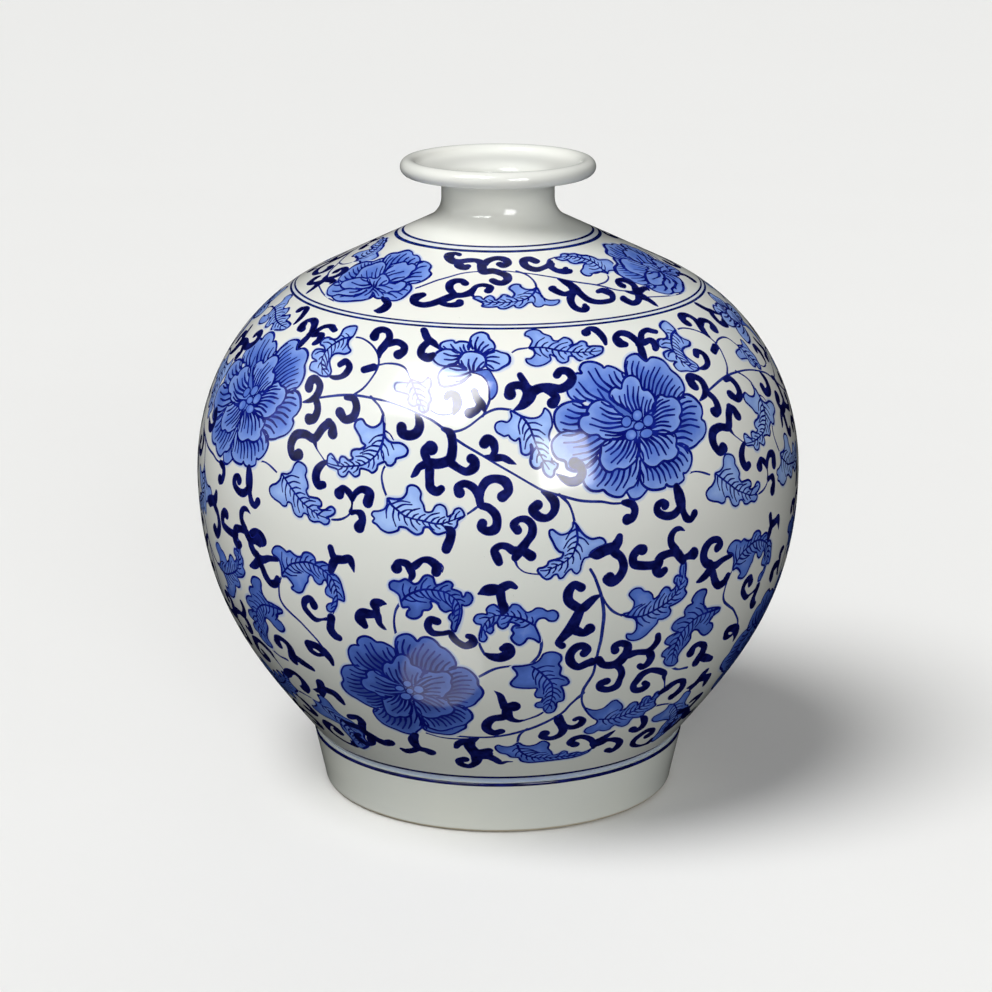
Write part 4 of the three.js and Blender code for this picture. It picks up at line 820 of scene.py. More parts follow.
brush = {
    "leafLine": 0.38,  # half the width of each line
    "leafVein": 0.37,
    "spineLine": 0.42,
    "petalLine": 0.43,
    "veinLine": 0.5,
    "calyxLine": 0.3,
    "waver": 0.13,  # share of a line's width that comes and goes along it
    "stemWidth": 1.3,
    "scrollWidth": 1.07,
    "scrollEdge": 0.3,
    "thinnestHeart": 0.55,  # a scroll thinner than this is all edge
    "leafVeinSpacing": 2.3,
    "leafVeinAngle": 54,  # degrees from the spine at the leaf's foot, and how far they close by its tip
    "leafVeinClosing": 20,
    "leafVeinReach": 0.66,
    "leafVeinBend": 0.12,
    "leafVeinLengths": (1.2, 6.5),
    "veinSpacing": 1.6,
    "innerVeinSpacing": 1.05,
    "veinReach": 0.7,
    "veinBend": 0.09,
    "fanBack": 0.55,  # how far behind the petal's root its veins would meet
    "petalWashDepth": 7.0,  # how far in from the edge the wash darkens
    "leafWashDepth": 2.6,
    "calyxWashDepth": 2.0,
    "berryWashDepth": 1.6,
    "calyxTones": (0.9, 0.35),  # at the heart and at the edge
    "berryTones": (0.78, 0.5),
    "leafEdgeDarker": 0.2,
    "leafToneSpread": 0.09,
    "leafBleed": 1.5,  # how far colour ran out under the glaze
    "petalBleed": 1.7,
    "bleedShift": (0.12, -0.2),  # most of it downhill
    "coarseness": 0.03,  # how far a drawn curve may stray from the smooth one
    "bleedCoarseness": 0.12,
}
coatNames = ("white", "wash", "line", "scroll", "stem", "bleed", "scrollEdge", "ring")


# Brush work: every mark becomes one closed outline, and later marks cover earlier ones

def smoothPath(points, closed=False, spacing=0.3):
    points = np.array(points, float)
    if closed:
        points = np.vstack([points[-1], points, points[0], points[1]])
    else:
        points = np.vstack([2 * points[0] - points[1], points, 2 * points[-1] - points[-2]])
    gaps = np.maximum(np.linalg.norm(np.diff(points[:, :2], axis=0), axis=1), 1e-6) ** 0.5
    made = []
    for i in range(1, len(points) - 2):
        before, here, after = gaps[i - 1], gaps[i], gaps[i + 1]
        p0, p1, p2, p3 = points[i - 1:i + 3]
        leave = (p1 - p0) / before - (p2 - p0) / (before + here) + (p2 - p1) / here
        arrive = (p2 - p1) / here - (p3 - p1) / (here + after) + (p3 - p2) / after
        steps = max(2, int(math.ceil(here ** 2 / spacing)))
        t = (np.arange(steps) / steps)[:, None]
        made.append(
            (2 * t ** 3 - 3 * t ** 2 + 1) * p1 + (t ** 3 - 2 * t ** 2 + t) * leave * here
            + (3 * t ** 2 - 2 * t ** 3) * p2 + (t ** 3 - t ** 2) * arrive * here
        )
    path = np.vstack(made)
    return path if closed else np.vstack([path, points[-2]])


def thinned(path, stray=brush["coarseness"]):
    keep = np.zeros(len(path), bool)
    keep[[0, -1]] = True
    spans = [(0, len(path) - 1)]
    while spans:
        first, last = spans.pop()
        if last - first < 2:
            continue
        along = path[last] - path[first]
        length = np.hypot(*along)
        inside = path[first + 1:last] - path[first]
        if length < 1e-9:
            away = np.hypot(*inside.T)
        else:
            away = np.abs(inside[:, 0] * along[1] - inside[:, 1] * along[0]) / length
        worst = int(np.argmax(away))
        if away[worst] > stray:
            middle = first + 1 + worst
            keep[middle] = True
            spans += [(first, middle), (middle, last)]
    return path[keep]


def pointing(heading):
    return np.array([math.cos(heading), math.sin(heading)])


def ellipse(halfWide, halfHigh, count):
    turn = np.linspace(0, 2 * math.pi, count + 1)[:-1]
    return np.column_stack([np.cos(turn), np.sin(turn)]) * (halfWide, halfHigh)


# Round the end of a stroke, from the side where its outline arrives
def roundEnd(end, start, radius):
    angle = math.atan2(start[1] - end[1], start[0] - end[0])
    count = max(2, math.ceil(math.pi / 2 / math.acos(max(1 - 0.05 / max(radius, 0.06), 0.3))))
    turn = angle - np.linspace(0, math.pi, count + 1)[1:-1]
    return end + radius * np.column_stack([np.cos(turn), np.sin(turn)])


def strokeOutline(path):
    along = np.gradient(path[:, :2], axis=0)
    along /= np.maximum(np.linalg.norm(along, axis=1), 1e-9)[:, None]
    across = np.column_stack([-along[:, 1], along[:, 0]]) * path[:, 2:3]
    left = path[:, :2] + across
    right = path[:, :2] - across
    tip = roundEnd(path[-1, :2], left[-1], path[-1, 2])
    tail = roundEnd(path[0, :2], right[0], path[0, 2])
    return np.vstack([thinned(left), tip, thinned(right[::-1]), tail])


def lineStroke(points, halfWidth, closed=False, taper=0.0):
    path = smoothPath(points, closed)
    if closed:
        path = np.vstack([path, path[:1]])
    share = np.linspace(0, 1, len(path))
    width = halfWidth * (1 - taper * share) * (1 + brush["waver"] * np.sin(9.0 * share + path[0, 0]))
    return strokeOutline(np.column_stack([path[:, :2], width]))


def runOn(points, further):
    ends = []
    for end, inner in ((points[0], points[1]), (points[-1], points[-2])):
        away = Vector(end) - Vector(inner)
        ends.append(tuple(Vector(end) + away.normalized() * further))
    return [ends[0], *points, ends[1]]


def edgeDistance(points, line, closed=True):
    start = line if closed else line[:-1]
    run = np.roll(line, -1, axis=0)[:len(start)] - start
    length = np.maximum((run ** 2).sum(axis=1), 1e-12)
    best = np.full(len(points), np.inf)
    for a, d, l in zip(start, run, length):
        t = np.clip(((points - a) @ d) / l, 0, 1)
        best = np.minimum(best, np.hypot(*(points - a - t[:, None] * d).T))
    return best


# How far away an outline is met along a heading, each time
def reachAlong(origin, heading, outline):
    run = np.roll(outline, -1, axis=0) - outline
    across = heading[0] * run[:, 1] - heading[1] * run[:, 0]
    across = np.where(np.abs(across) < 1e-9, 1e-9, across)
    offset = outline - origin
    distance = (offset[:, 0] * run[:, 1] - offset[:, 1] * run[:, 0]) / across
    share = (offset[:, 0] * heading[1] - offset[:, 1] * heading[0]) / across
    return distance[(share >= 0) & (share < 1) & (distance > 0.05)]


class Painting:
    def __init__(self):
        self.marks = []
        self.band = None

    def lay(self, outline, coat, **more):
        self.marks.append({"outline": outline, "coat": coatNames.index(coat), "band": self.band, **more})

    def line(self, points, halfWidth, coat="line", **more):
        self.lay(lineStroke(points, halfWidth, **more), coat)

    def wash(self, outline, tones, depth, **more):
        self.lay(outline, "wash", washDepth=depth, edgeTone=tones[1], coreTone=tones[0], **more)

    # A strip of one height round the whole vase
    def circle(self, low, high, coat, **more):
        over = 4
        x = np.linspace(-halfTurn - over, halfTurn + over, 250)[:, None]
        self.band = None
        self.lay(np.vstack([np.insert(x, 1, low, axis=1), np.insert(x[::-1], 1, high, axis=1)]), coat, **more)

    # Colour that ran out under the glaze beside a painted edge
    def bleed(self, edge, reach):
        edge = thinned(edge, brush["bleedCoarseness"])
        along = np.roll(edge, -1, axis=0) - np.roll(edge, 1, axis=0)
        along /= np.maximum(np.hypot(*along.T), 1e-6)[:, None]
        outward = np.column_stack([along[:, 1], -along[:, 0]])
        if (edge[:, 0] * np.roll(edge[:, 1], -1) - np.roll(edge[:, 0], -1) * edge[:, 1]).sum() < 0:
            outward = -outward
        run = reach * (0.55 + 0.25 * np.sin(0.33 * edge[:, 0]) + 0.2 * np.sin(0.41 * edge[:, 1] + 1))
        self.lay(edge + outward * run[:, None] + brush["bleedShift"], "bleed", core=edge, washDepth=reach)

    def leaf(self, leaf):
        edge = smoothPath(leaf["edge"], closed=True)[:, :2]
        tone = self.band["leafTone"] + brush["leafToneSpread"] * math.sin(1.9 * len(self.marks))
        self.bleed(edge, brush["leafBleed"])
        self.wash(thinned(edge), (tone, tone - brush["leafEdgeDarker"]), brush["leafWashDepth"])
        self.leafVeins(leaf["spine"], edge)
        self.line(leaf["edge"], brush["leafLine"], closed=True)
        self.line(leaf["spine"], brush["spineLine"], taper=0.5)
        if "sideSpine" in leaf:
            self.line(leaf["sideSpine"], brush["leafLine"], taper=0.5)

    def leafVeins(self, spine, edge):
        path = smoothPath(spine)[:, :2]
        way = walked(path)
        count = max(3, int(way[-1] / brush["leafVeinSpacing"]))
        shortest, longest = brush["leafVeinLengths"]

        def onSpine(place):
            return np.array([np.interp(place, way, path[:, 0]), np.interp(place, way, path[:, 1])])

        for side in (-1, 1):
            for i in range(count):
                share = 0.05 + 0.87 * (i + 0.3 * (side > 0)) / count
                place = share * way[-1]
                root = onSpine(place)
                ahead = onSpine(min(place + 1.0, way[-1])) - root
                angle = math.radians(brush["leafVeinAngle"] - brush["leafVeinClosing"] * share)
                direction = pointing(math.atan2(ahead[1], ahead[0]) + side * angle)
                hits = reachAlong(root, direction, edge)
                if len(hits) == 0:
                    continue
                reach = brush["leafVeinReach"] + 0.14 * math.sin(2.4 * i + side)
                length = min(hits.min() * reach, longest)
                if length < shortest:
                    continue
                bend = side * brush["leafVeinBend"] * length * np.array([-direction[1], direction[0]])
                points = [root, root + direction * length * 0.5 + bend, root + direction * length]
                self.line(points, brush["leafVein"], taper=0.4)

    # Veins rise from under whatever covers the petal's root, and bend a little to one side
    def petal(self, petal, covers, tones, spacing):
        rim = smoothPath(petal[:-1])[:, :2]
        root = np.array(petal[-1], float)
        drawn = thinned(rim)
        self.wash(np.vstack([drawn, root]), tones, brush["petalWashDepth"], rimPoints=len(drawn))
        self.petalVeins(rim, root, covers, spacing)
        self.line(petal[:-1], brush["petalLine"])

    def petalVeins(self, rim, root, covers, spacing):
        origin = root - brush["fanBack"] * (rim.mean(axis=0) - root)
        away = rim - origin
        angle = np.unwrap(np.arctan2(away[:, 1], away[:, 0]))
        low, high = angle.min(), angle.max()
        outline = np.vstack([rim, root])

        def span(share):
            direction = pointing(low + (high - low) * share)
            hits = reachAlong(origin, direction, outline)
            if len(hits) < 2:
                return direction, 0.0, 0.0
            covered = [hits.min()]
            for cover in covers:
                covered += [f for f in reachAlong(origin, direction, cover) if f < hits.max()]
            return direction, max(covered), hits.max()

        middles = [span(share)[1] for share in (0.25, 0.5, 0.75)]
        count = max(3, int((high - low) * sum(middles) / 3 / spacing))
        for i in range(count):
            direction, start, tip = span((i + 0.5) / count)
            reach = brush["veinReach"] + 0.08 * math.sin(2.1 * i + 0.7) + 0.04 * math.sin(5.3 * i)
            length = (tip - start) * reach
            if length < 1.0:
                continue
            sway = brush["veinBend"] * length * np.array([-direction[1], direction[0]])
            points = [origin + direction * (start - 0.2), origin + direction * (start + length / 2) + sway,
                      origin + direction * (start + length)]
            self.line(points, brush["veinLine"], taper=0.4)

    def berry(self, x, v, halfWide, halfHigh):
        self.lay(ellipse(halfWide + 0.3, halfHigh + 0.3, 18) + (x, v), "line")
        self.wash(ellipse(halfWide - 0.25, halfHigh - 0.25, 18) + (x, v), brush["berryTones"],
                  brush["berryWashDepth"])

    def blossom(self, blossom):
        inner = blossom.get("innerPetals", [])
        berries = blossom.get("berries", [])
        berryEdges = [ellipse(*berry[2:], 12) + berry[:2] for berry in berries]
        innerEdges = [np.vstack([smoothPath(petal[:-1], spacing=1.0)[:, :2], petal[-1]]) for petal in inner]
        tones = blossom["tones"]
        for petal in blossom["petals"]:
            self.bleed(np.vstack([smoothPath(petal[:-1])[:, :2], petal[-1]]), brush["petalBleed"])
        for petal in blossom["petals"]:
            self.petal(petal, innerEdges, tones, blossom.get("veinSpacing", brush["veinSpacing"]))
        for petal in inner:
            self.petal(petal, berryEdges, tones, brush["innerVeinSpacing"])
        if "calyx" in blossom:
            calyx = smoothPath(blossom["calyx"], closed=True)[:, :2]
            self.wash(thinned(calyx), brush["calyxTones"], brush["calyxWashDepth"])
            self.line(blossom["calyx"], brush["calyxLine"], closed=True)
        for berry in berries:
            self.berry(*berry)

    def paintBand(self, band):
        self.band = band
        for halfWidth, points in band["stems"]:
            self.line(runOn(points, 0.9), halfWidth * brush["stemWidth"], "stem")
        for leaf in band["leaves"]:
            self.leaf(leaf)
        for blossom in band["blossoms"]:
            self.blossom(blossom)
        scrolls = band["scrolls"] + [leaf["hook"] for leaf in band["leaves"] if "hook" in leaf]
        paths = [smoothPath(scroll) * (1, 1, brush["scrollWidth"]) for scroll in scrolls]
        for path in paths:
            self.lay(strokeOutline(path), "scrollEdge")
        for path in paths:
            heart = path[path[:, 2] > brush["thinnestHeart"]] - (0, 0, brush["scrollEdge"])
            if len(heart) > 3:
                self.lay(strokeOutline(heart), "scroll")

    # Every mark is copied round its band, and its angles become millimetres at the widest line
    def onTheGlobe(self):
        placed = []
        for mark in self.marks:
            if mark["band"] is None:
                placed.append(mark)
                continue
            for copy in range(-3, 4):
                lines = {
                    key: turnedRound(mark[key], copy, mark["band"])
                    for key in ("outline", "core") if key in mark
                }
                x = lines["outline"][:, 0]
                if x.max() >= -halfTurn and x.min() <= halfTurn:
                    placed.append({**mark, **lines})
        return placed


# The painter meets the first copy again at the back, so the copies are squeezed or stretched there
def turnedRound(points, copy, band):
    evenTo = 100  # degrees to each side of the front
    angle = np.degrees(points[:, 0] / radiusAt(points[:, 1])) + copy * band["period"]
    half = band["copies"] * band["period"] / 2
    laps = np.round(angle.mean() / (2 * half))
    rest = angle - laps * 2 * half
    size = np.abs(rest)
    size = np.where(size <= evenTo, size, evenTo + (size - evenTo) * (180 - evenTo) / (half - evenTo))
    x = np.radians(laps * 360 + np.sign(rest) * size) * shape["bellyRadius"]
    return np.column_stack([x, points[:, 1]])


# The painted face as flat triangles, cut along every visible brush edge

def cutFlat(points, edges):
    made = delaunay_2d_cdt([Vector(p) for p in points.tolist()], edges, [], 0, 1e-4, False)
    corner = np.array([tuple(v) for v in made[0]])
    triangle = np.array([f for f in made[2] if len(f) == 3], int)
    a, b, c = (corner[triangle[:, i]] for i in range(3))
    area = (b[:, 0] - a[:, 0]) * (c[:, 1] - a[:, 1]) - (b[:, 1] - a[:, 1]) * (c[:, 0] - a[:, 0])
    triangle[area < 0] = triangle[area < 0][:, ::-1]
    middle = (a + b + c) / 3
    keep = (np.abs(middle[:, 0]) < halfTurn) & (middle[:, 1] > tapeAtFoot) & (middle[:, 1] < tapeAtCollar)
    keep &= np.abs(area) > 1e-9
    return corner, triangle[keep], middle[keep]


def looseSpots():
    rowGap = 3.3
    spotGap = 3.6
    rows = int((tapeAtCollar - tapeAtFoot) / rowGap)
    spots = []
    for row in range(1, rows):
        height = tapeAtFoot + (tapeAtCollar - tapeAtFoot) * row / rows
        if abs(height) < 1:
            continue
        count = int(2 * math.pi * float(radiusAt(height)) / spotGap)
        x = (np.arange(count) + 0.25 + 0.5 * (row % 2)) / count * 2 * halfTurn - halfTurn
        x = x[np.abs(x) < halfTurn - spotGap / 3]
        spots.append(np.column_stack([x, np.full(len(x), height)]))
    return np.vstack(spots)


def allEdges(marks):
    lines = [(mark["outline"], True) for mark in marks]
    seam = np.linspace(tapeAtFoot, tapeAtCollar, 90)
    seam[np.argmin(np.abs(seam))] = 0
    lines += [(np.column_stack([np.full(90, side), seam]), False) for side in (-halfTurn, halfTurn)]
    x = np.linspace(-halfTurn, halfTurn, 181)
    for height in (tapeAtFoot, 0.0, tapeAtCollar):
        lines.append((np.column_stack([x, np.full(len(x), height)]), False))
    edges = []
    first = 0
    for line, closed in lines:
        index = list(range(first, first + len(line)))
        edges += zip(index[:-1], index[1:])
        if closed:
            edges.append((index[-1], index[0]))
        first += len(line)
    return np.vstack([line for line, closed in lines]), edges


# Edges that show: between two paints, round the face, and along the widest line
def visibleEdges(marks, corner, triangle, top):
    look = np.array([n if "washDepth" in m else -2 - m["coat"] for n, m in enumerate(marks)] + [-1])[top]
    side = np.sort(triangle[:, [0, 1, 1, 2, 2, 0]].reshape(-1, 2), axis=1)
    owner = np.repeat(np.arange(len(triangle)), 3)
    order = np.lexsort((side[:, 1], side[:, 0]))
    side, owner = side[order], owner[order]
    first = np.flatnonzero((side[1:] == side[:-1]).all(axis=1))
    alone = np.ones(len(side), bool)
    alone[first] = False
    alone[first + 1] = False
    shows = look[owner[first]] != look[owner[first + 1]]
    shows |= (np.abs(corner[side[first], 1]) < 1e-5).all(axis=1)
    return np.vstack([side[alone], side[first[shows]]])


def insideOutline(spot, outline):
    a = outline
    b = np.roll(outline, -1, axis=0)
    x, y = spot[:, :1], spot[:, 1:]
    side = (b[:, 0] - a[:, 0]) * (y - a[:, 1]) - (x - a[:, 0]) * (b[:, 1] - a[:, 1])
    up = (a[:, 1] <= y) & (b[:, 1] > y) & (side > 0)
    down = (a[:, 1] > y) & (b[:, 1] <= y) & (side < 0)
    return (up.sum(axis=1) - down.sum(axis=1)) != 0


# The number of the last mark over each spot, or -1 where the glaze is bare
def topMark(marks, middle):
    order = np.argsort(middle[:, 0])
    x = middle[order, 0]
    top = np.full(len(middle), -1)
    for number, mark in enumerate(marks):
        low = mark["outline"].min(axis=0)
        high = mark["outline"].max(axis=0)
        chosen = order[slice(*np.searchsorted(x, [low[0], high[0]]))]
        y = middle[chosen, 1]
        chosen = chosen[(y >= low[1]) & (y <= high[1])]
        if len(chosen):
            top[chosen[insideOutline(middle[chosen], mark["outline"])]] = number
    return top


# How deep the paint lies at each corner: its edge and its heart have their own tones
def washValues(marks, corner, triangle, top):
    wash = np.zeros(triangle.shape)
    order = np.argsort(top, kind="stable")
    bounds = np.searchsorted(top[order], np.arange(len(marks) + 1))
    for number, mark in enumerate(marks):
        chosen = order[bounds[number]:bounds[number + 1]]
        wash[chosen] = mark.get("strength", 0)
        if "washDepth" not in mark or len(chosen) == 0:
            continue
        used, back = np.unique(triangle[chosen], return_inverse=True)
        scale = float(radiusAt(mark["outline"][:, 1].mean())) / shape["bellyRadius"]
        rimPoints = mark.get("rimPoints")
        line = mark.get("core", mark["outline"])[:rimPoints]
        away = edgeDistance(corner[used] * (scale, 1), line * (scale, 1), closed=not rimPoints)
        depth = away / mark["washDepth"]
        if "core" in mark:
            value = np.clip(1 - depth / 0.9, 0, 1)
        else:
            value = mark["edgeTone"] + (mark["coreTone"] - mark["edgeTone"]) * np.clip(depth, 0, 1)
        wash[chosen] = value[back].reshape(-1, 3)
    return wash


# The whole painted face: its flat corners, triangles and their middles, coats and wash
def paintedFace():
    painting = Painting()
    for band in (lowerBand, upperBand, shoulderBand):
        painting.paintBand(band)
    for low, high, strength in ringBands.values():
        painting.circle(low, high, "bleed", strength=strength)
    for low, high, coat in ringLines.values():
        painting.circle(low, high, coat)
    marks = painting.onTheGlobe()
    print("marks", len(marks), "points", sum(len(m["outline"]) for m in marks))
    points, edges = allEdges(marks)
    spots = looseSpots()
    corner, triangle, middle = cutFlat(np.vstack([points, spots]), edges)
    edges = visibleEdges(marks, corner, triangle, topMark(marks, middle))
    used, edges = np.unique(edges, return_inverse=True)
    edges = [tuple(e) for e in edges.reshape(-1, 2).tolist()]
    corner, triangle, middle = cutFlat(np.vstack([corner[used], spots]), edges)
    print("painted face triangles", len(triangle))
    top = topMark(marks, middle)
    coat = np.array([m["coat"] for m in marks] + [coatNames.index("white")])[top]
    return corner, triangle, middle, coat, washValues(marks, corner, triangle, top)


# Turning the flat face into a whole walled piece, ring by ring round the section

creaseAngle = math.radians(38)
wallSteps = 40  # rings down the inside of the bowl and of the dome
bowlMap = {  # how far up the map each stretch of the bowl's section ends
    "outside": 0.45,
    "inside": 0.8,
    "underMiddle": 0.82,
    "underEdge": 0.92,
    "seat": 0.96,
}
domeOutside = 0.5


def aroundU(angle):
    return angle / (2 * math.pi) + 0.5


def sectionShares(stretches, low=0.0, high=1.0):
    way = walked(np.vstack(stretches))
    return low + (high - low) * way / way[-1]


class TurnedBody:
    def __init__(self):
        self.places = []
        self.parts = []
        self.count = 0

    def addPlaces(self, places):
        first = self.count
        self.places.append(np.asarray(places, float))
        self.count += len(places)
        return first

    def addPlain(self, faces, uvs):
        self.parts.append((
            np.array(faces, int), np.full(len(faces), coatNames.index("white")), np.array(uvs, float),
            np.zeros((len(faces), 3)), np.full((len(faces), 3, 3), np.nan),
        ))

    # The painted face between two heights, welded where it meets itself at the back
    def addPainted(self, face, low, high, shares):
        corner, triangle, middle, coat, wash = face
        seamReach = 1e-3
        weldReach = 0.02
        chosen = (middle[:, 1] > low) & (middle[:, 1] < high)
        used, back = np.unique(triangle[chosen], return_inverse=True)
        back = back.reshape(-1, 3)
        x, height = corner[used].T
        angle = x / shape["bellyRadius"]
        normals = globeNormal(angle, height)
        uv = np.column_stack([aroundU(angle), np.interp(height, (low, high), shares)])
        left = np.flatnonzero(np.abs(x + halfTurn) < seamReach)
        right = np.flatnonzero(np.abs(x - halfTurn) < seamReach)
        gap = np.abs(height[right][:, None] - height[left][None, :])
        target = np.arange(len(x))
        target[right] = np.where(gap.min(axis=1) < weldReach, left[gap.argmin(axis=1)], right)
        first = self.addPlaces(placeOnGlobe(angle, height))
        turned = target[back] + first
        good = (turned != np.roll(turned, -1, axis=1)).all(axis=1)
        parts = (turned, coat[chosen], uv[back], wash[chosen], normals[back])
        self.parts.append(tuple(part[good] for part in parts))
        rings = []
        for edge in (low, high):
            on = np.flatnonzero((np.abs(height - edge) < seamReach) & (np.abs(x) < halfTurn - seamReach))
            start = left[np.argmin(np.abs(height[left] - edge))]
            on = np.concatenate([[start], on[np.argsort(angle[on])]])
            rings.append((on + first, angle[on]))
        return rings

    def addRing(self, radius, height, angles):
        x = radius * np.sin(angles)
        y = -radius * np.cos(angles)
        first = self.addPlaces(np.column_stack([x, y, np.full(len(angles), height)]))
        return first + np.arange(len(angles)), angles

    def join(self, lower, upper, shares):
        faces = []
        uvs = []
        (low, lowAngle), (high, highAngle) = (
            (np.append(index, index[0]), np.append(angle, math.pi)) for index, angle in (lower, upper)
        )
        lowU = [(u, shares[0]) for u in aroundU(lowAngle)]
        highU = [(u, shares[1]) for u in aroundU(highAngle)]
        i = j = 0
        while i < len(low) - 1 or j < len(high) - 1:
            lowerNext = i < len(low) - 1 and (j >= len(high) - 1 or lowAngle[i + 1] <= highAngle[j + 1])
            if lowerNext:
                faces.append((low[i], low[i + 1], high[j]))
                uvs.append((lowU[i], lowU[i + 1], highU[j]))
                i += 1
            else:
                faces.append((low[i], high[j + 1], high[j]))
                uvs.append((lowU[i], highU[j + 1], highU[j]))
                j += 1
        self.addPlain(faces, uvs)

    # More rings along a section, each joined to the last
    def follow(self, ring, section, shares):
        for i, (radius, height) in enumerate(section):
            following = self.addRing(radius, height, ring[1])
            self.join(ring, following, shares[i:i + 2])
            ring = following
        return ring

    def fan(self, ring, height, upwards, shares):
        pole = self.addPlaces([(0, 0, height)])
        index = np.append(ring[0], ring[0][0])
        u = aroundU(np.append(ring[1], math.pi))
        faces = []
        uvs = []
        for i in range(len(ring[0])):
            face = (index[i], index[i + 1], pole)
            uv = ((u[i], shares[0]), (u[i + 1], shares[0]), ((u[i] + u[i + 1]) / 2, shares[1]))
            faces.append(face if upwards else face[::-1])
            uvs.append(uv if upwards else uv[::-1])
        self.addPlain(faces, uvs)

    def build(self, name, materials):
        faces, coats, uvs, washes, normals = (np.concatenate(part) for part in zip(*self.parts))
        used, back = np.unique(faces, return_inverse=True)
        mesh = bpy.data.meshes.new(name)
        places = np.vstack(self.places)[used] * millimetre
        mesh.from_pydata(places.tolist(), [], back.reshape(-1, 3).tolist())
        mesh.polygons.foreach_set("material_index", coats.astype(np.int32))
        mesh.polygons.foreach_set("use_smooth", np.ones(len(faces), bool))
        uvMap = mesh.uv_layers.new(name="OFBake")
        uvMap.data.foreach_set("uv", uvs.astype(np.float32).ravel())
        wash = mesh.attributes.new("wash", "FLOAT", "CORNER")
        wash.data.foreach_set("value", washes.astype(np.float32).ravel())
        for material in materials:
            mesh.materials.append(material)
        mesh.set_sharp_from_angle(angle=creaseAngle)
        found = np.zeros(len(mesh.loops) * 3, np.float32)
        mesh.corner_normals.foreach_get("vector", found)
        wanted = normals.reshape(-1, 3)
        shown = np.where(np.isnan(wanted), found.reshape(-1, 3), wanted)
        mesh.normals_split_custom_set(shown.tolist())
        piece = bpy.data.objects.new(name, mesh)
        bpy.context.scene.collection.objects.link(piece)
        print(name, "faces", len(faces))
        return piece


def makePaintedBowl(face, materials):
    floorTopZ = shape["floorTopZ"]
    inner = innerFace(bowlCurve(wallSteps), shape["bodyWall"])
    inner = inner[inner[:, 1] > floorTopZ + shape["floorFillet"] / 2][::-1]
    wallFoot = inner[-1]
    toFloor = (wallFoot[1] - floorTopZ) / math.tan(math.radians(shape["bowlFootAngle"]))
    floorCorner = np.array([wallFoot[0] - toFloor, floorTopZ])
    floorEdge = floorCorner - (shape["floorFillet"], 0)
    t = np.linspace(0, 1, 9)[1:, None]
    fillet = (1 - t) ** 2 * wallFoot + 2 * (1 - t) * t * floorCorner + t ** 2 * floorEdge
    tongueInner = shape["bellyRadius"] - shape["bodyWall"]
    tongueOuter = tongueInner + shape["bellyTongueWall"]
    tongueTopZ = bellyZ + shape["bellyTongueHeight"]
    inside = np.vstack([
        [(tongueOuter, bellyZ), (tongueOuter, tongueTopZ), (tongueInner, tongueTopZ)],
        inner,
        fillet,
    ])
    floorRadius = shape["footBoreRadius"] - shape["slipFilm"]
    body = TurnedBody()
    foot, belly = body.addPainted(face, tapeAtFoot, 0.0, (0.0, bowlMap["outside"]))
    stretches = [[(shape["bellyRadius"], bellyZ)], inside, [(0, floorTopZ)]]
    shares = sectionShares(stretches, bowlMap["outside"], bowlMap["inside"])
    body.fan(body.follow(belly, inside, shares), floorTopZ, True, shares[-2:])
    under = body.addRing(floorRadius, shape["recessHeight"], foot[1])
    seat = body.addRing(floorRadius, shape["footHeight"], foot[1])
    body.fan(under, shape["recessHeight"], False, (bowlMap["underEdge"], bowlMap["underMiddle"]))
    body.join(under, seat, (bowlMap["underEdge"], bowlMap["seat"]))
    body.join(seat, foot, (bowlMap["seat"], 1.0))
    return body.build("paintedBowl", materials)


def makePaintedDome(face, materials):
    wallInner = shape["bellyRadius"] - shape["bodyWall"]
    skirt = wallInner + shape["bellyTongueWall"] + shape["slipFilm"]
    skirtTopZ = bellyZ + shape["bellyTongueHeight"] + shape["slipFilm"]
    collarInner = shape["collarRadius"] - shape["collarSeatWidth"]
    collarInnerZ = shoulderLine(collarInner) - shape["bodyWall"] / math.cos(slope)
    inner = innerFace(domeCurve(wallSteps), shape["bodyWall"])
    inside = np.vstack([
        [(shape["collarRadius"], collarSeatZ), (collarInner, collarSeatZ), (collarInner, collarInnerZ)],
        inner[inner[:, 1] > skirtTopZ][::-1],
        [(wallInner, skirtTopZ), (skirt, skirtTopZ), (skirt, bellyZ)],
    ])
    body = TurnedBody()
    belly, collar = body.addPainted(face, 0.0, tapeAtCollar, (0.0, domeOutside))
    stretches = [[(shape["collarRadius"], collarZ)], inside, [(shape["bellyRadius"], bellyZ)]]
    shares = sectionShares(stretches, domeOutside)
    body.join(body.follow(collar, inside, shares), belly, shares[-2:])
    return body.build("paintedDome", materials)


# Node trees, and the sums in them

class Wire:
    def __init__(self, nodes, socket):
        self.nodes = nodes
        self.socket = socket

    def combine(self, operation, first, second=0.0):
        made = self.nodes.node("ShaderNodeMath", {"operation": operation}, {0: first, 1: second})
        return Wire(self.nodes, made.outputs[0])

    def __add__(self, other):
        return self.combine("ADD", self, other)

    def __radd__(self, other):
        return self.combine("ADD", other, self)

    def __sub__(self, other):
        return self.combine("SUBTRACT", self, other)

    def __mul__(self, other):
        return self.combine("MULTIPLY", self, other)

    def __rmul__(self, other):
        return self.combine("MULTIPLY", other, self)

    def __pow__(self, other):
        return self.combine("POWER", self, other)

    def __gt__(self, other):
        return self.combine("GREATER_THAN", self, other)

    def __lt__(self, other):
        return self.combine("LESS_THAN", self, other)


class Nodes:
    def __init__(self, tree):
        self.tree = tree

    def node(self, kind, settings=None, inputs=None):
        made = self.tree.nodes.new(kind)
        for name, value in (settings or {}).items():
            setattr(made, name, value)
        for name, value in (inputs or {}).items():
            self.feed(made.inputs[name], value)
        return made

    # One output of a new node
    def part(self, output, kind, settings=None, inputs=None):
        return Wire(self, self.node(kind, settings, inputs).outputs[output])

    def feed(self, socket, value):
        if isinstance(value, Wire):
            self.tree.links.new(value.socket, socket)
        else:
            socket.default_value = value


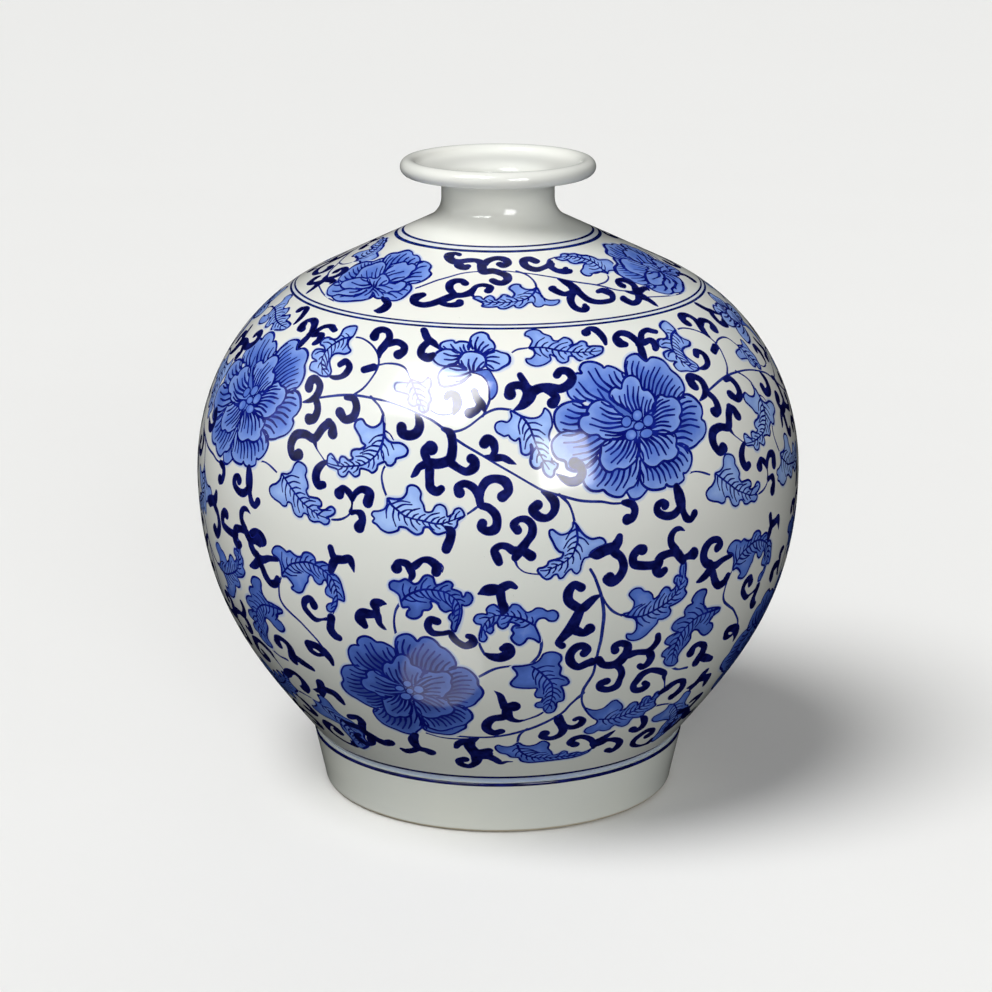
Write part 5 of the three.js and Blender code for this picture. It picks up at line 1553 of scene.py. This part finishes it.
class Shading(Nodes):
    def __init__(self, name):
        self.material = bpy.data.materials.new(name)
        self.material.use_nodes = True
        super().__init__(self.material.node_tree)
        self.tree.nodes.clear()
        self.surface = self.node("ShaderNodeBsdfPrincipled")
        self.node("ShaderNodeOutputMaterial", inputs={"Surface": Wire(self, self.surface.outputs["BSDF"])})
        self.place = self.part("Object", "ShaderNodeTexCoord")

    def height(self):
        return self.part("Z", "ShaderNodeSeparateXYZ", inputs={"Vector": self.place})

    def noise(self, scale, detail=2.0, roughness=0.5):
        return self.part("Fac", "ShaderNodeTexNoise", inputs={
            "Vector": self.place, "Scale": scale, "Detail": detail, "Roughness": roughness,
        })

    def ramp(self, value, low, high):
        inputs = {"Value": value, "From Min": low, "From Max": high}
        return self.part("Result", "ShaderNodeMapRange", {"clamp": True}, inputs)

    def blend(self, share, first, second):
        return self.part(2, "ShaderNodeMix", {"data_type": "RGBA"}, {0: share, 6: first, 7: second})

    def wash(self):
        settings = {"attribute_type": "GEOMETRY", "attribute_name": "wash"}
        return self.part("Fac", "ShaderNodeAttribute", settings)

    def setSurface(self, **inputs):
        for name, value in inputs.items():
            self.feed(self.surface.inputs[name.replace("_", " ")], value)


def fromScreen(red, green, blue):
    def linear(value):
        value /= 255
        return value / 12.92 if value <= 0.04045 else ((value + 0.055) / 1.055) ** 2.4
    return (linear(red), linear(green), linear(blue), 1.0)


glazeLook = {
    "roughness": 0.09,
    "roughnessSpread": 0.05,
    "roughnessScale": 90.0,
    "ior": 1.5,
    "reflection": 0.3,
    "waveScale": 42.0,
    "waveDistance": 0.0006,
    "waveStrength": 0.12,
    "white": fromScreen(238, 238, 231),
    "whiteShade": fromScreen(230, 233, 227),
    # A greyer white: painted shade on the lower body, where less light falls
    "whiteLowShade": fromScreen(222, 226, 219),
    "lowShadeFrom": 0.02,  # metres above the table, where the painted shade low on the body is greyest
    "lowShadeTo": 0.15,  # and where it is no longer grey
    "cloudScale": 14.0,
    "footCloudScale": 20.0,
    "cloudRange": (0.35, 0.65),
    "speck": fromScreen(196, 198, 190),
    "speckScale": 900.0,
    "speckRange": (0.79, 0.83),
    "speckStrength": 0.5,
    "washDeep": fromScreen(26, 42, 122),
    "washMiddle": fromScreen(90, 124, 213),
    "washPale": fromScreen(170, 200, 252),
    "washGrain": (150.0, 4.0, 0.6),
    "washGrainDepth": 0.34,
    "bleed": fromScreen(122, 162, 236),
    "bleedScale": 120.0,
    "bleedFaintest": 0.25,
    "poolGrain": (230.0, 3.0, 0.6),
    "poolRange": (0.42, 0.72),
    "line": fromScreen(8, 16, 112),
    "lineThin": fromScreen(24, 42, 150),
    "ring": fromScreen(10, 24, 92),
    "ringThin": fromScreen(28, 52, 140),
    "scroll": fromScreen(7, 10, 64),
    "scrollThin": fromScreen(24, 32, 112),
    "scrollEdge": fromScreen(30, 42, 138),
    "stem": fromScreen(24, 36, 122),
    "stemThin": fromScreen(50, 68, 152),
    # The foot's white is greyer than the body's: painted shade under the globe
    "footShadeWhite": fromScreen(228, 231, 221),
    "biscuit": fromScreen(206, 196, 172),
    "biscuitTop": 0.0013,  # metres above the table, and how far that edge wanders
    "biscuitFade": 0.0004,
    "biscuitWander": 0.0006,
    "biscuitScale": 160.0,
    "biscuitRoughness": 0.6,
}


def glaze(name):
    made = Shading(name)
    bump = made.part("Normal", "ShaderNodeBump", inputs={
        "Strength": glazeLook["waveStrength"], "Distance": glazeLook["waveDistance"],
        "Height": made.noise(glazeLook["waveScale"], 1.0),
    })
    rough = glazeLook["roughnessSpread"] * made.noise(glazeLook["roughnessScale"], 3.0)
    made.roughness = glazeLook["roughness"] + rough
    made.setSurface(
        Roughness=made.roughness, Normal=bump,
        IOR=glazeLook["ior"], Specular_IOR_Level=glazeLook["reflection"],
    )
    return made


# The white glaze: cloud and specks, and painted shade that greys it towards the bottom of the vase
def whiteWithLowShade(made):
    cloud = made.ramp(made.noise(glazeLook["cloudScale"], 3.0), *glazeLook["cloudRange"])
    speck = made.ramp(made.noise(glazeLook["speckScale"], 1.0), *glazeLook["speckRange"])
    # Painted shade: the white darkens towards the bottom
    thick = made.ramp(made.height(), glazeLook["lowShadeTo"], glazeLook["lowShadeFrom"])
    white = made.blend(cloud, glazeLook["white"], glazeLook["whiteShade"])
    white = made.blend(thick, white, glazeLook["whiteLowShade"])
    return made.blend(speck * glazeLook["speckStrength"], white, glazeLook["speck"])


def makeWhiteGlaze():
    made = glaze("whiteGlaze")
    made.setSurface(Base_Color=whiteWithLowShade(made))
    return made.material


def makeFootGlaze():
    made = glaze("footGlaze")
    cloud = made.ramp(made.noise(glazeLook["footCloudScale"], 3.0), *glazeLook["cloudRange"])
    edge = made.height() + glazeLook["biscuitWander"] * made.noise(glazeLook["biscuitScale"])
    bare = made.ramp(edge, glazeLook["biscuitTop"] + glazeLook["biscuitFade"], glazeLook["biscuitTop"])
    # Cloud between two greyed whites, both painted shade under the globe
    white = made.blend(cloud, glazeLook["footShadeWhite"], glazeLook["whiteLowShade"])
    made.setSurface(
        Base_Color=made.blend(bare, white, glazeLook["biscuit"]),
        Roughness=made.roughness + bare * glazeLook["biscuitRoughness"],
    )
    return made.material


# Watered cobalt goes from nearly navy through blue to pale
def makeWash():
    made = glaze("cobaltWash")
    depth = glazeLook["washGrainDepth"]
    tone = made.wash() + depth * made.noise(*glazeLook["washGrain"]) - depth / 2
    blue = made.blend(made.ramp(tone, 0.0, 0.5), glazeLook["washDeep"], glazeLook["washMiddle"])
    made.setSurface(Base_Color=made.blend(made.ramp(tone, 0.5, 1.0), blue, glazeLook["washPale"]))
    return made.material


# Colour that ran out under the glaze, as strong as told or as the mesh says
def makeRunBlue(name, strength=None):
    made = glaze(name)
    strength = made.wash() if strength is None else strength
    share = strength * (glazeLook["bleedFaintest"] + made.noise(glazeLook["bleedScale"]))
    made.setSurface(Base_Color=made.blend(made.ramp(share, 0.0, 1.0), whiteWithLowShade(made), glazeLook["bleed"]))
    return made.material


# Strong cobalt pools and thins within a stroke
def makeCobalt(name, colour, thin):
    made = glaze(name)
    pool = made.ramp(made.noise(*glazeLook["poolGrain"]), *glazeLook["poolRange"])
    made.setSurface(Base_Color=made.blend(pool, glazeLook[colour], glazeLook[thin]))
    return made.material


# Foot, neck and mouth, each swept round the axis from its section by one node tree

class LatheTree(Nodes):
    marks = ("Line", "Band")  # two painted circles, each between two radii

    def __init__(self):
        super().__init__(bpy.data.node_groups.new("turnedPiece", "GeometryNodeTree"))
        self.identifiers = {}
        self.source = self.node("NodeGroupInput")
        output = self.node("NodeGroupOutput")
        self.input("Section", "Geometry")
        self.input("Turns", "Int")
        for name in ("Wheel radius", "Crease", "Marks above"):
            self.input(name, "Float")
        self.input("Glaze", "Material")
        for mark in self.marks:
            self.input(mark + " glaze", "Material")
            self.input(mark + " inner", "Float")
            self.input(mark + " outer", "Float")
        self.tree.interface.new_socket("Piece", in_out="OUTPUT", socket_type="NodeSocketGeometry")
        section = self.part("Curve", "GeometryNodeMeshToCurve", inputs={"Mesh": self.given("Section")})
        wheel = self.part("Curve", "GeometryNodeCurvePrimitiveCircle", inputs={
            "Resolution": self.given("Turns"), "Radius": self.given("Wheel radius"),
        })
        wheel = self.part("Curve", "GeometryNodeSetCurveNormal", {"mode": "Z_UP"}, {"Curve": wheel})
        piece = self.part("Mesh", "GeometryNodeCurveToMesh", inputs={
            "Curve": wheel, "Profile Curve": section,
        })
        piece = self.part("Geometry", "GeometryNodeSetShadeSmooth", {"domain": "FACE"}, {
            "Geometry": piece, "Shade Smooth": True,
        })
        sharp = self.part("Unsigned Angle", "GeometryNodeInputMeshEdgeAngle") > self.given("Crease")
        piece = self.part("Geometry", "GeometryNodeSetShadeSmooth", {"domain": "EDGE"}, {
            "Geometry": piece, "Selection": sharp, "Shade Smooth": False,
        })
        piece = self.part("Geometry", "GeometryNodeRealizeInstances", inputs={"Geometry": piece})
        piece = self.part("Geometry", "GeometryNodeSetMaterial", inputs={
            "Geometry": piece, "Material": self.given("Glaze"),
        })
        position = self.part("Position", "GeometryNodeInputPosition")
        x, y, z = (
            self.part(axis, "ShaderNodeSeparateXYZ", inputs={"Vector": position}) for axis in ("X", "Y", "Z")
        )
        radius = x.combine("SQRT", x * x + y * y)
        high = z > self.given("Marks above")
        for mark in self.marks:
            between = (radius > self.given(mark + " inner")) * (radius < self.given(mark + " outer"))
            piece = self.part("Geometry", "GeometryNodeSetMaterial", inputs={
                "Geometry": piece, "Selection": between * high, "Material": self.given(mark + " glaze"),
            })
        self.feed(output.inputs["Piece"], piece)

    def input(self, name, kind):
        made = self.tree.interface.new_socket(name, in_out="INPUT", socket_type="NodeSocket" + kind)
        self.identifiers[name] = made.identifier

    def given(self, name):
        return Wire(self, self.source.outputs[name])

    # The section is drawn round the wheel's rim, so it is listed the other way and upside down
    def turn(self, name, section, values, glazes):
        section = np.vstack(section)[::-1]
        wheel = values["Wheel radius"]
        places = [((r - wheel) * millimetre, -z * millimetre, 0.0) for r, z in section.tolist()]
        values = {**values, "Glaze": glazes[0], "Line glaze": glazes[1], "Band glaze": glazes[2]}
        mesh = bpy.data.meshes.new(name + "Section")
        mesh.from_pydata(places, [(i, (i + 1) % len(places)) for i in range(len(places))], [])
        holder = bpy.data.objects.new(name + "Section", mesh)
        bpy.context.scene.collection.objects.link(holder)
        modifier = holder.modifiers.new("turn", "NODES")
        modifier.node_group = self.tree
        for given, value in values.items():
            if given.endswith(("radius", "inner", "outer", "above")):
                value = value * millimetre
            modifier[self.identifiers[given]] = value
        holder.update_tag()
        made = bpy.data.meshes.new_from_object(holder.evaluated_get(bpy.context.evaluated_depsgraph_get()))
        made.name = name
        bpy.data.objects.remove(holder)
        self.layMap(made, section)
        piece = bpy.data.objects.new(name, made)
        bpy.context.scene.collection.objects.link(piece)
        print(name, "faces", len(made.polygons), "materials", [m.name for m in made.materials if m])
        return piece

    def layMap(self, mesh, section):
        shares = sectionShares([section, section[:1]])
        uvMap = mesh.uv_layers.get("OFBake") or mesh.uv_layers.new(name="OFBake")
        places = np.zeros(len(mesh.vertices) * 3)
        mesh.vertices.foreach_get("co", places)
        x, y, z = places.reshape(-1, 3).T / millimetre
        away = np.hypot(np.hypot(x, y)[:, None] - section[:, 0], z[:, None] - section[:, 1])
        row = away.argmin(axis=1)
        turn = aroundU(np.arctan2(x, -y))
        half = len(section) / 2
        for polygon in mesh.polygons:
            corners = list(polygon.vertices)
            u = turn[corners]
            if u.max() - u.min() > 0.5:
                u = np.where(u < 0.5, u + 1, u)
            r = row[corners]
            v = shares[r]
            if r.max() - r.min() > half:
                v = np.where(r < half, 1.0, v)
            for loop, place in zip(polygon.loop_indices, zip(u, v)):
                uvMap.data[loop].uv = place


footPiece = {
    "Wheel radius": 60.0,
    "Turns": 240,
    "Crease": creaseAngle,
    "Line inner": 65.3,
    "Line outer": 66.0,
    "Band inner": 63.5,
    "Band outer": 65.3,
    "Marks above": 18.0,
}
footWall = {
    "ledgeRound": 0.5,
    "ledgeDrop": 1.1,  # from the ledge down to where the wall runs straight
    "ringHeights": (6.0, 12.0),  # above the lower edge's round, where the wall has further rings
}


def makeTurnedFoot(lathe, materials):
    edge = shape["footEdgeRound"]
    top = shape["footHeight"]
    ledge = footWall["ledgeRound"]
    drop = footWall["ledgeDrop"]
    lean = (shape["footTopRadius"] - shape["footBottomRadius"]) / (top - edge)
    section = [
        [(shape["footRimInnerRadius"] + shape["footRimChamfer"], 0)],
        arc((shape["footBottomRadius"] - edge, edge), edge, -90, 0, 10),
        [(shape["footBottomRadius"] + lean * up, edge + up) for up in footWall["ringHeights"]],
        [(shape["footTopRadius"] - lean * drop, top - drop)],
        arc((shape["footTopRadius"] - (1 + lean) * ledge, top - ledge), ledge, -12, 90, 8),
        [(footPiece["Band outer"], top), (shape["footBoreRadius"], top),
         (shape["footBoreRadius"], shape["recessHeight"] - shape["slipFilm"]),
         (shape["footRimInnerRadius"], shape["footRimChamfer"])],
    ]
    glazes = [materials[name] for name in ("foot", "scroll", "footBand")]
    return lathe.turn("turnedFoot", section, footPiece, glazes)


neckPiece = {
    "Wheel radius": 24.0,
    "Turns": 200,
    "Crease": creaseAngle,
    "Line inner": 32.25,
    "Line outer": 33.1,
    "Band inner": 33.1,
    "Band outer": 34.5,
    "Marks above": 188.0,
}
flareRings = (31.3, 30.5)  # radii of further rings on the straight part of the flare


def makeGlazedNeck(lathe, materials):
    outer = shape["collarRadius"]
    fillet = shape["neckFillet"]
    reach = fillet * math.tan(math.radians((90 - shape["shoulderSlope"]) / 2))
    centre = (shape["neckRadius"] + fillet, shoulderLine(shape["neckRadius"]) + reach)
    innerLineZ = shoulderLine(shape["neckRadius"]) - shape["neckWall"] / math.cos(slope)
    seatInner = shape["neckRadius"] + (innerLineZ - collarSeatZ) / math.tan(slope)
    tongue = boreRadius + shape["neckTongueWall"]
    tongueTopZ = neckJointZ + shape["neckTongueHeight"]
    rings = (outer, neckPiece["Line outer"], neckPiece["Line inner"], *flareRings)
    section = [
        [(outer, collarSeatZ)],
        [(radius, shoulderLine(radius)) for radius in rings],
        arc(centre, fillet, 270 - shape["shoulderSlope"], 180, 18),
        [(shape["neckRadius"], neckJointZ), (tongue, neckJointZ)],
        [(tongue, tongueTopZ), (boreRadius, tongueTopZ)],
        arc(centre, fillet + shape["neckWall"], 180, 270 - shape["shoulderSlope"], 16),
        [(seatInner, collarSeatZ)],
    ]
    glazes = [materials[name] for name in ("white", "ring", "collarBand")]
    return lathe.turn("glazedNeck", section, neckPiece, glazes)


rimPiece = {
    "Wheel radius": 26.0,
    "Turns": 220,
    "Crease": math.radians(50),
}
rollDrop = 0.06  # the finer roll reaches its full height, which the solid's corners miss


def makeRolledMouth(lathe, materials):
    rebate = boreRadius + shape["neckTongueWall"] + shape["slipFilm"]
    rebateZ = neckJointZ + shape["neckTongueHeight"] + shape["slipFilm"]
    thick = shape["rimThickness"] / 2
    under = shape["rimUnderFillet"]
    innerTurn = shape["rimInnerTurn"]
    rollCentre = (shape["rimRadius"] - thick, rimUndersideZ + thick - rollDrop)
    roll = arc(rollCentre, thick, -90, innerTurn, 34)
    bore = (boreRadius, rebateZ)
    funnel = sweep(roll[-1], innerTurn + 90, shape["funnelRimPull"], bore, -90, shape["funnelBorePull"], 18)
    section = [
        [(rebate, neckJointZ), (shape["neckRadius"], neckJointZ)],
        arc((shape["neckRadius"] + under, rimUndersideZ - under), under, 180, 90, 14),
        roll,
        funnel[1:],
        [(rebate, rebateZ)],
    ]
    glazes = [materials[name] for name in ("white", "ring", "collarBand")]
    return lathe.turn("rolledMouth", section, rimPiece, glazes)


materials = {
    "white": makeWhiteGlaze(),
    "wash": makeWash(),
    "line": makeCobalt("outlineBlue", "line", "lineThin"),
    "scroll": makeCobalt("scrollNavy", "scroll", "scrollThin"),
    "stem": makeCobalt("stemBlue", "stem", "stemThin"),
    "bleed": makeRunBlue("runCobalt"),
    "ring": makeCobalt("ringBlue", "ring", "ringThin"),
    "scrollEdge": makeCobalt("scrollEdgeBlue", "scrollEdge", "line"),
    "foot": makeFootGlaze(),
    "footBand": makeRunBlue("footRunBlue", ringBands["foot"][2]),
    "collarBand": makeRunBlue("collarRunBlue", ringBands["shoulder"][2]),
}
painted = paintedFace()
coats = [materials[name] for name in coatNames]
bowl = makePaintedBowl(painted, coats)
dome = makePaintedDome(painted, coats)
lathe = LatheTree()
foot = makeTurnedFoot(lathe, materials)
neck = makeGlazedNeck(lathe, materials)
mouth = makeRolledMouth(lathe, materials)
for piece, node, finish in (
    (foot, "foot_ring", "foot_glaze"),
    (bowl, "lower_body", "painted_glaze"),
    (dome, "upper_body", "painted_glaze"),
    (neck, "neck", "white_glaze"),
    (mouth, "mouth_rim", "white_glaze"),
):
    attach(piece, "root")
    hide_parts(node)

studio = {
    # The floor's colour near the vase is a little darker: a painted shadow round the foot
    "floorShadowNear": fromScreen(243, 243, 241),
    "floorFar": fromScreen(249, 249, 247),
    "floorFade": (0.1, 0.75),  # metres from the vase, over which the painted shadow round the foot fades out
    "floorFadePower": 0.7,
    "floorRoughness": 0.85,
    "floorRoughnessSpread": 0.1,
    "floorGrainScale": 3.0,
    "floorSize": 16.0,
    "worldColour": (1.0, 1.0, 1.0, 1.0),
    "worldStrength": 0.12,
    "target": (0.0, 0.0, 0.14),  # what the softboxes face
    # azimuth to the right of the front, height above level, width in degrees, strength
    "lamps": {
        "canopy": (-50.0, 60.0, 34.0, 2.35),
        "frontWindow": (7.0, 17.0, 34.0, 1.25),
        "lowFill": (-5.0, 0.0, 50.0, 0.28),
        "backFill": (165.0, 10.0, 60.0, 0.65),
    },
    # azimuth to the right of the front, height above level, distance, width, height, watts
    "softboxes": {
        "frontLeft": (-35.5, 54.0, 1.18, 0.6, 0.52, 32.0),
        "frontRight": (25.0, 22.0, 1.2, 0.4, 0.5, 11.8),
        "sideLeft": (-80.0, 27.0, 1.2, 1.0, 0.8, 2.6),
        "tableCard": (-17.0, -45.0, 0.196, 0.06, 0.08, 0.026),  # lies flat, just in front of the foot
    },
}


def towards(azimuth, elevation):
    azimuth = math.radians(azimuth)
    elevation = math.radians(elevation)
    level = math.cos(elevation)
    return Vector((math.sin(azimuth) * level, -math.cos(azimuth) * level, math.sin(elevation)))


# A lamp that shines along a direction
def addLamp(name, kind, watts, direction):
    light = bpy.data.lights.new(name, kind)
    light.energy = watts
    lamp = bpy.data.objects.new(name, light)
    lamp.rotation_euler = direction.to_track_quat("-Z", "Y").to_euler()
    bpy.context.scene.collection.objects.link(lamp)
    return lamp


def makeFloor():
    bpy.ops.mesh.primitive_plane_add(size=studio["floorSize"])
    floor = bpy.context.object
    floor.name = "floor"
    paper = Shading("floorPaper")
    # Painted shadow: the floor is darker near the vase and pales with distance
    away = paper.part("Value", "ShaderNodeVectorMath", {"operation": "LENGTH"}, {0: paper.place})
    share = paper.ramp(away, *studio["floorFade"]) ** studio["floorFadePower"]
    grain = paper.noise(studio["floorGrainScale"])
    paper.setSurface(
        Base_Color=paper.blend(share, studio["floorShadowNear"], studio["floorFar"]),
        Roughness=studio["floorRoughness"] + studio["floorRoughnessSpread"] * grain,
    )
    floor.data.materials.append(paper.material)
    floor.visible_diffuse = False
    floor.visible_glossy = False


# Sun lamps light the body colour and softboxes only the gloss, so each is set by itself
def makeStudio():
    world = bpy.data.worlds.new("studioWorld")
    world.use_nodes = True
    background = world.node_tree.nodes["Background"]
    background.inputs["Color"].default_value = studio["worldColour"]
    background.inputs["Strength"].default_value = studio["worldStrength"]
    bpy.context.scene.world = world
    world.cycles_visibility.glossy = False
    for name, (azimuth, elevation, spread, strength) in studio["lamps"].items():
        lamp = addLamp(name, "SUN", strength, -towards(azimuth, elevation))
        lamp.data.angle = math.radians(spread)
        lamp.visible_glossy = False
    for name, (azimuth, elevation, distance, width, height, watts) in studio["softboxes"].items():
        place = distance * towards(azimuth, elevation)
        onTable = elevation < 0
        lamp = addLamp(name, "AREA", watts, Vector((0, 0, 1)) if onTable else -place)
        lamp.data.shape = "ELLIPSE" if onTable else "RECTANGLE"
        lamp.data.size = width
        lamp.data.size_y = height
        lamp.location = Vector(studio["target"]) + place
        lamp.visible_diffuse = False
        lamp.visible_camera = False


camera = {  # metres, degrees and millimetres of focal length
    "back": 0.9975,
    "height": 0.38195,
    "pitch": 15.667037247,
    "focal": 106.8,
    "sensor": 36.0,
    "shiftX": -0.002016,
}


def makeCamera():
    data = bpy.data.cameras.new("camera")
    data.sensor_width = camera["sensor"]
    data.lens = camera["focal"]
    data.shift_x = camera["shiftX"]
    made = bpy.data.objects.new("camera", data)
    made.location = (0, -camera["back"], camera["height"])
    made.rotation_euler = (math.radians(90 - camera["pitch"]), 0, 0)
    bpy.context.scene.collection.objects.link(made)
    bpy.context.scene.camera = made


makeFloor()
makeStudio()
makeCamera()
bpy.context.scene.view_settings.view_transform = "Standard"
print("studio ready")
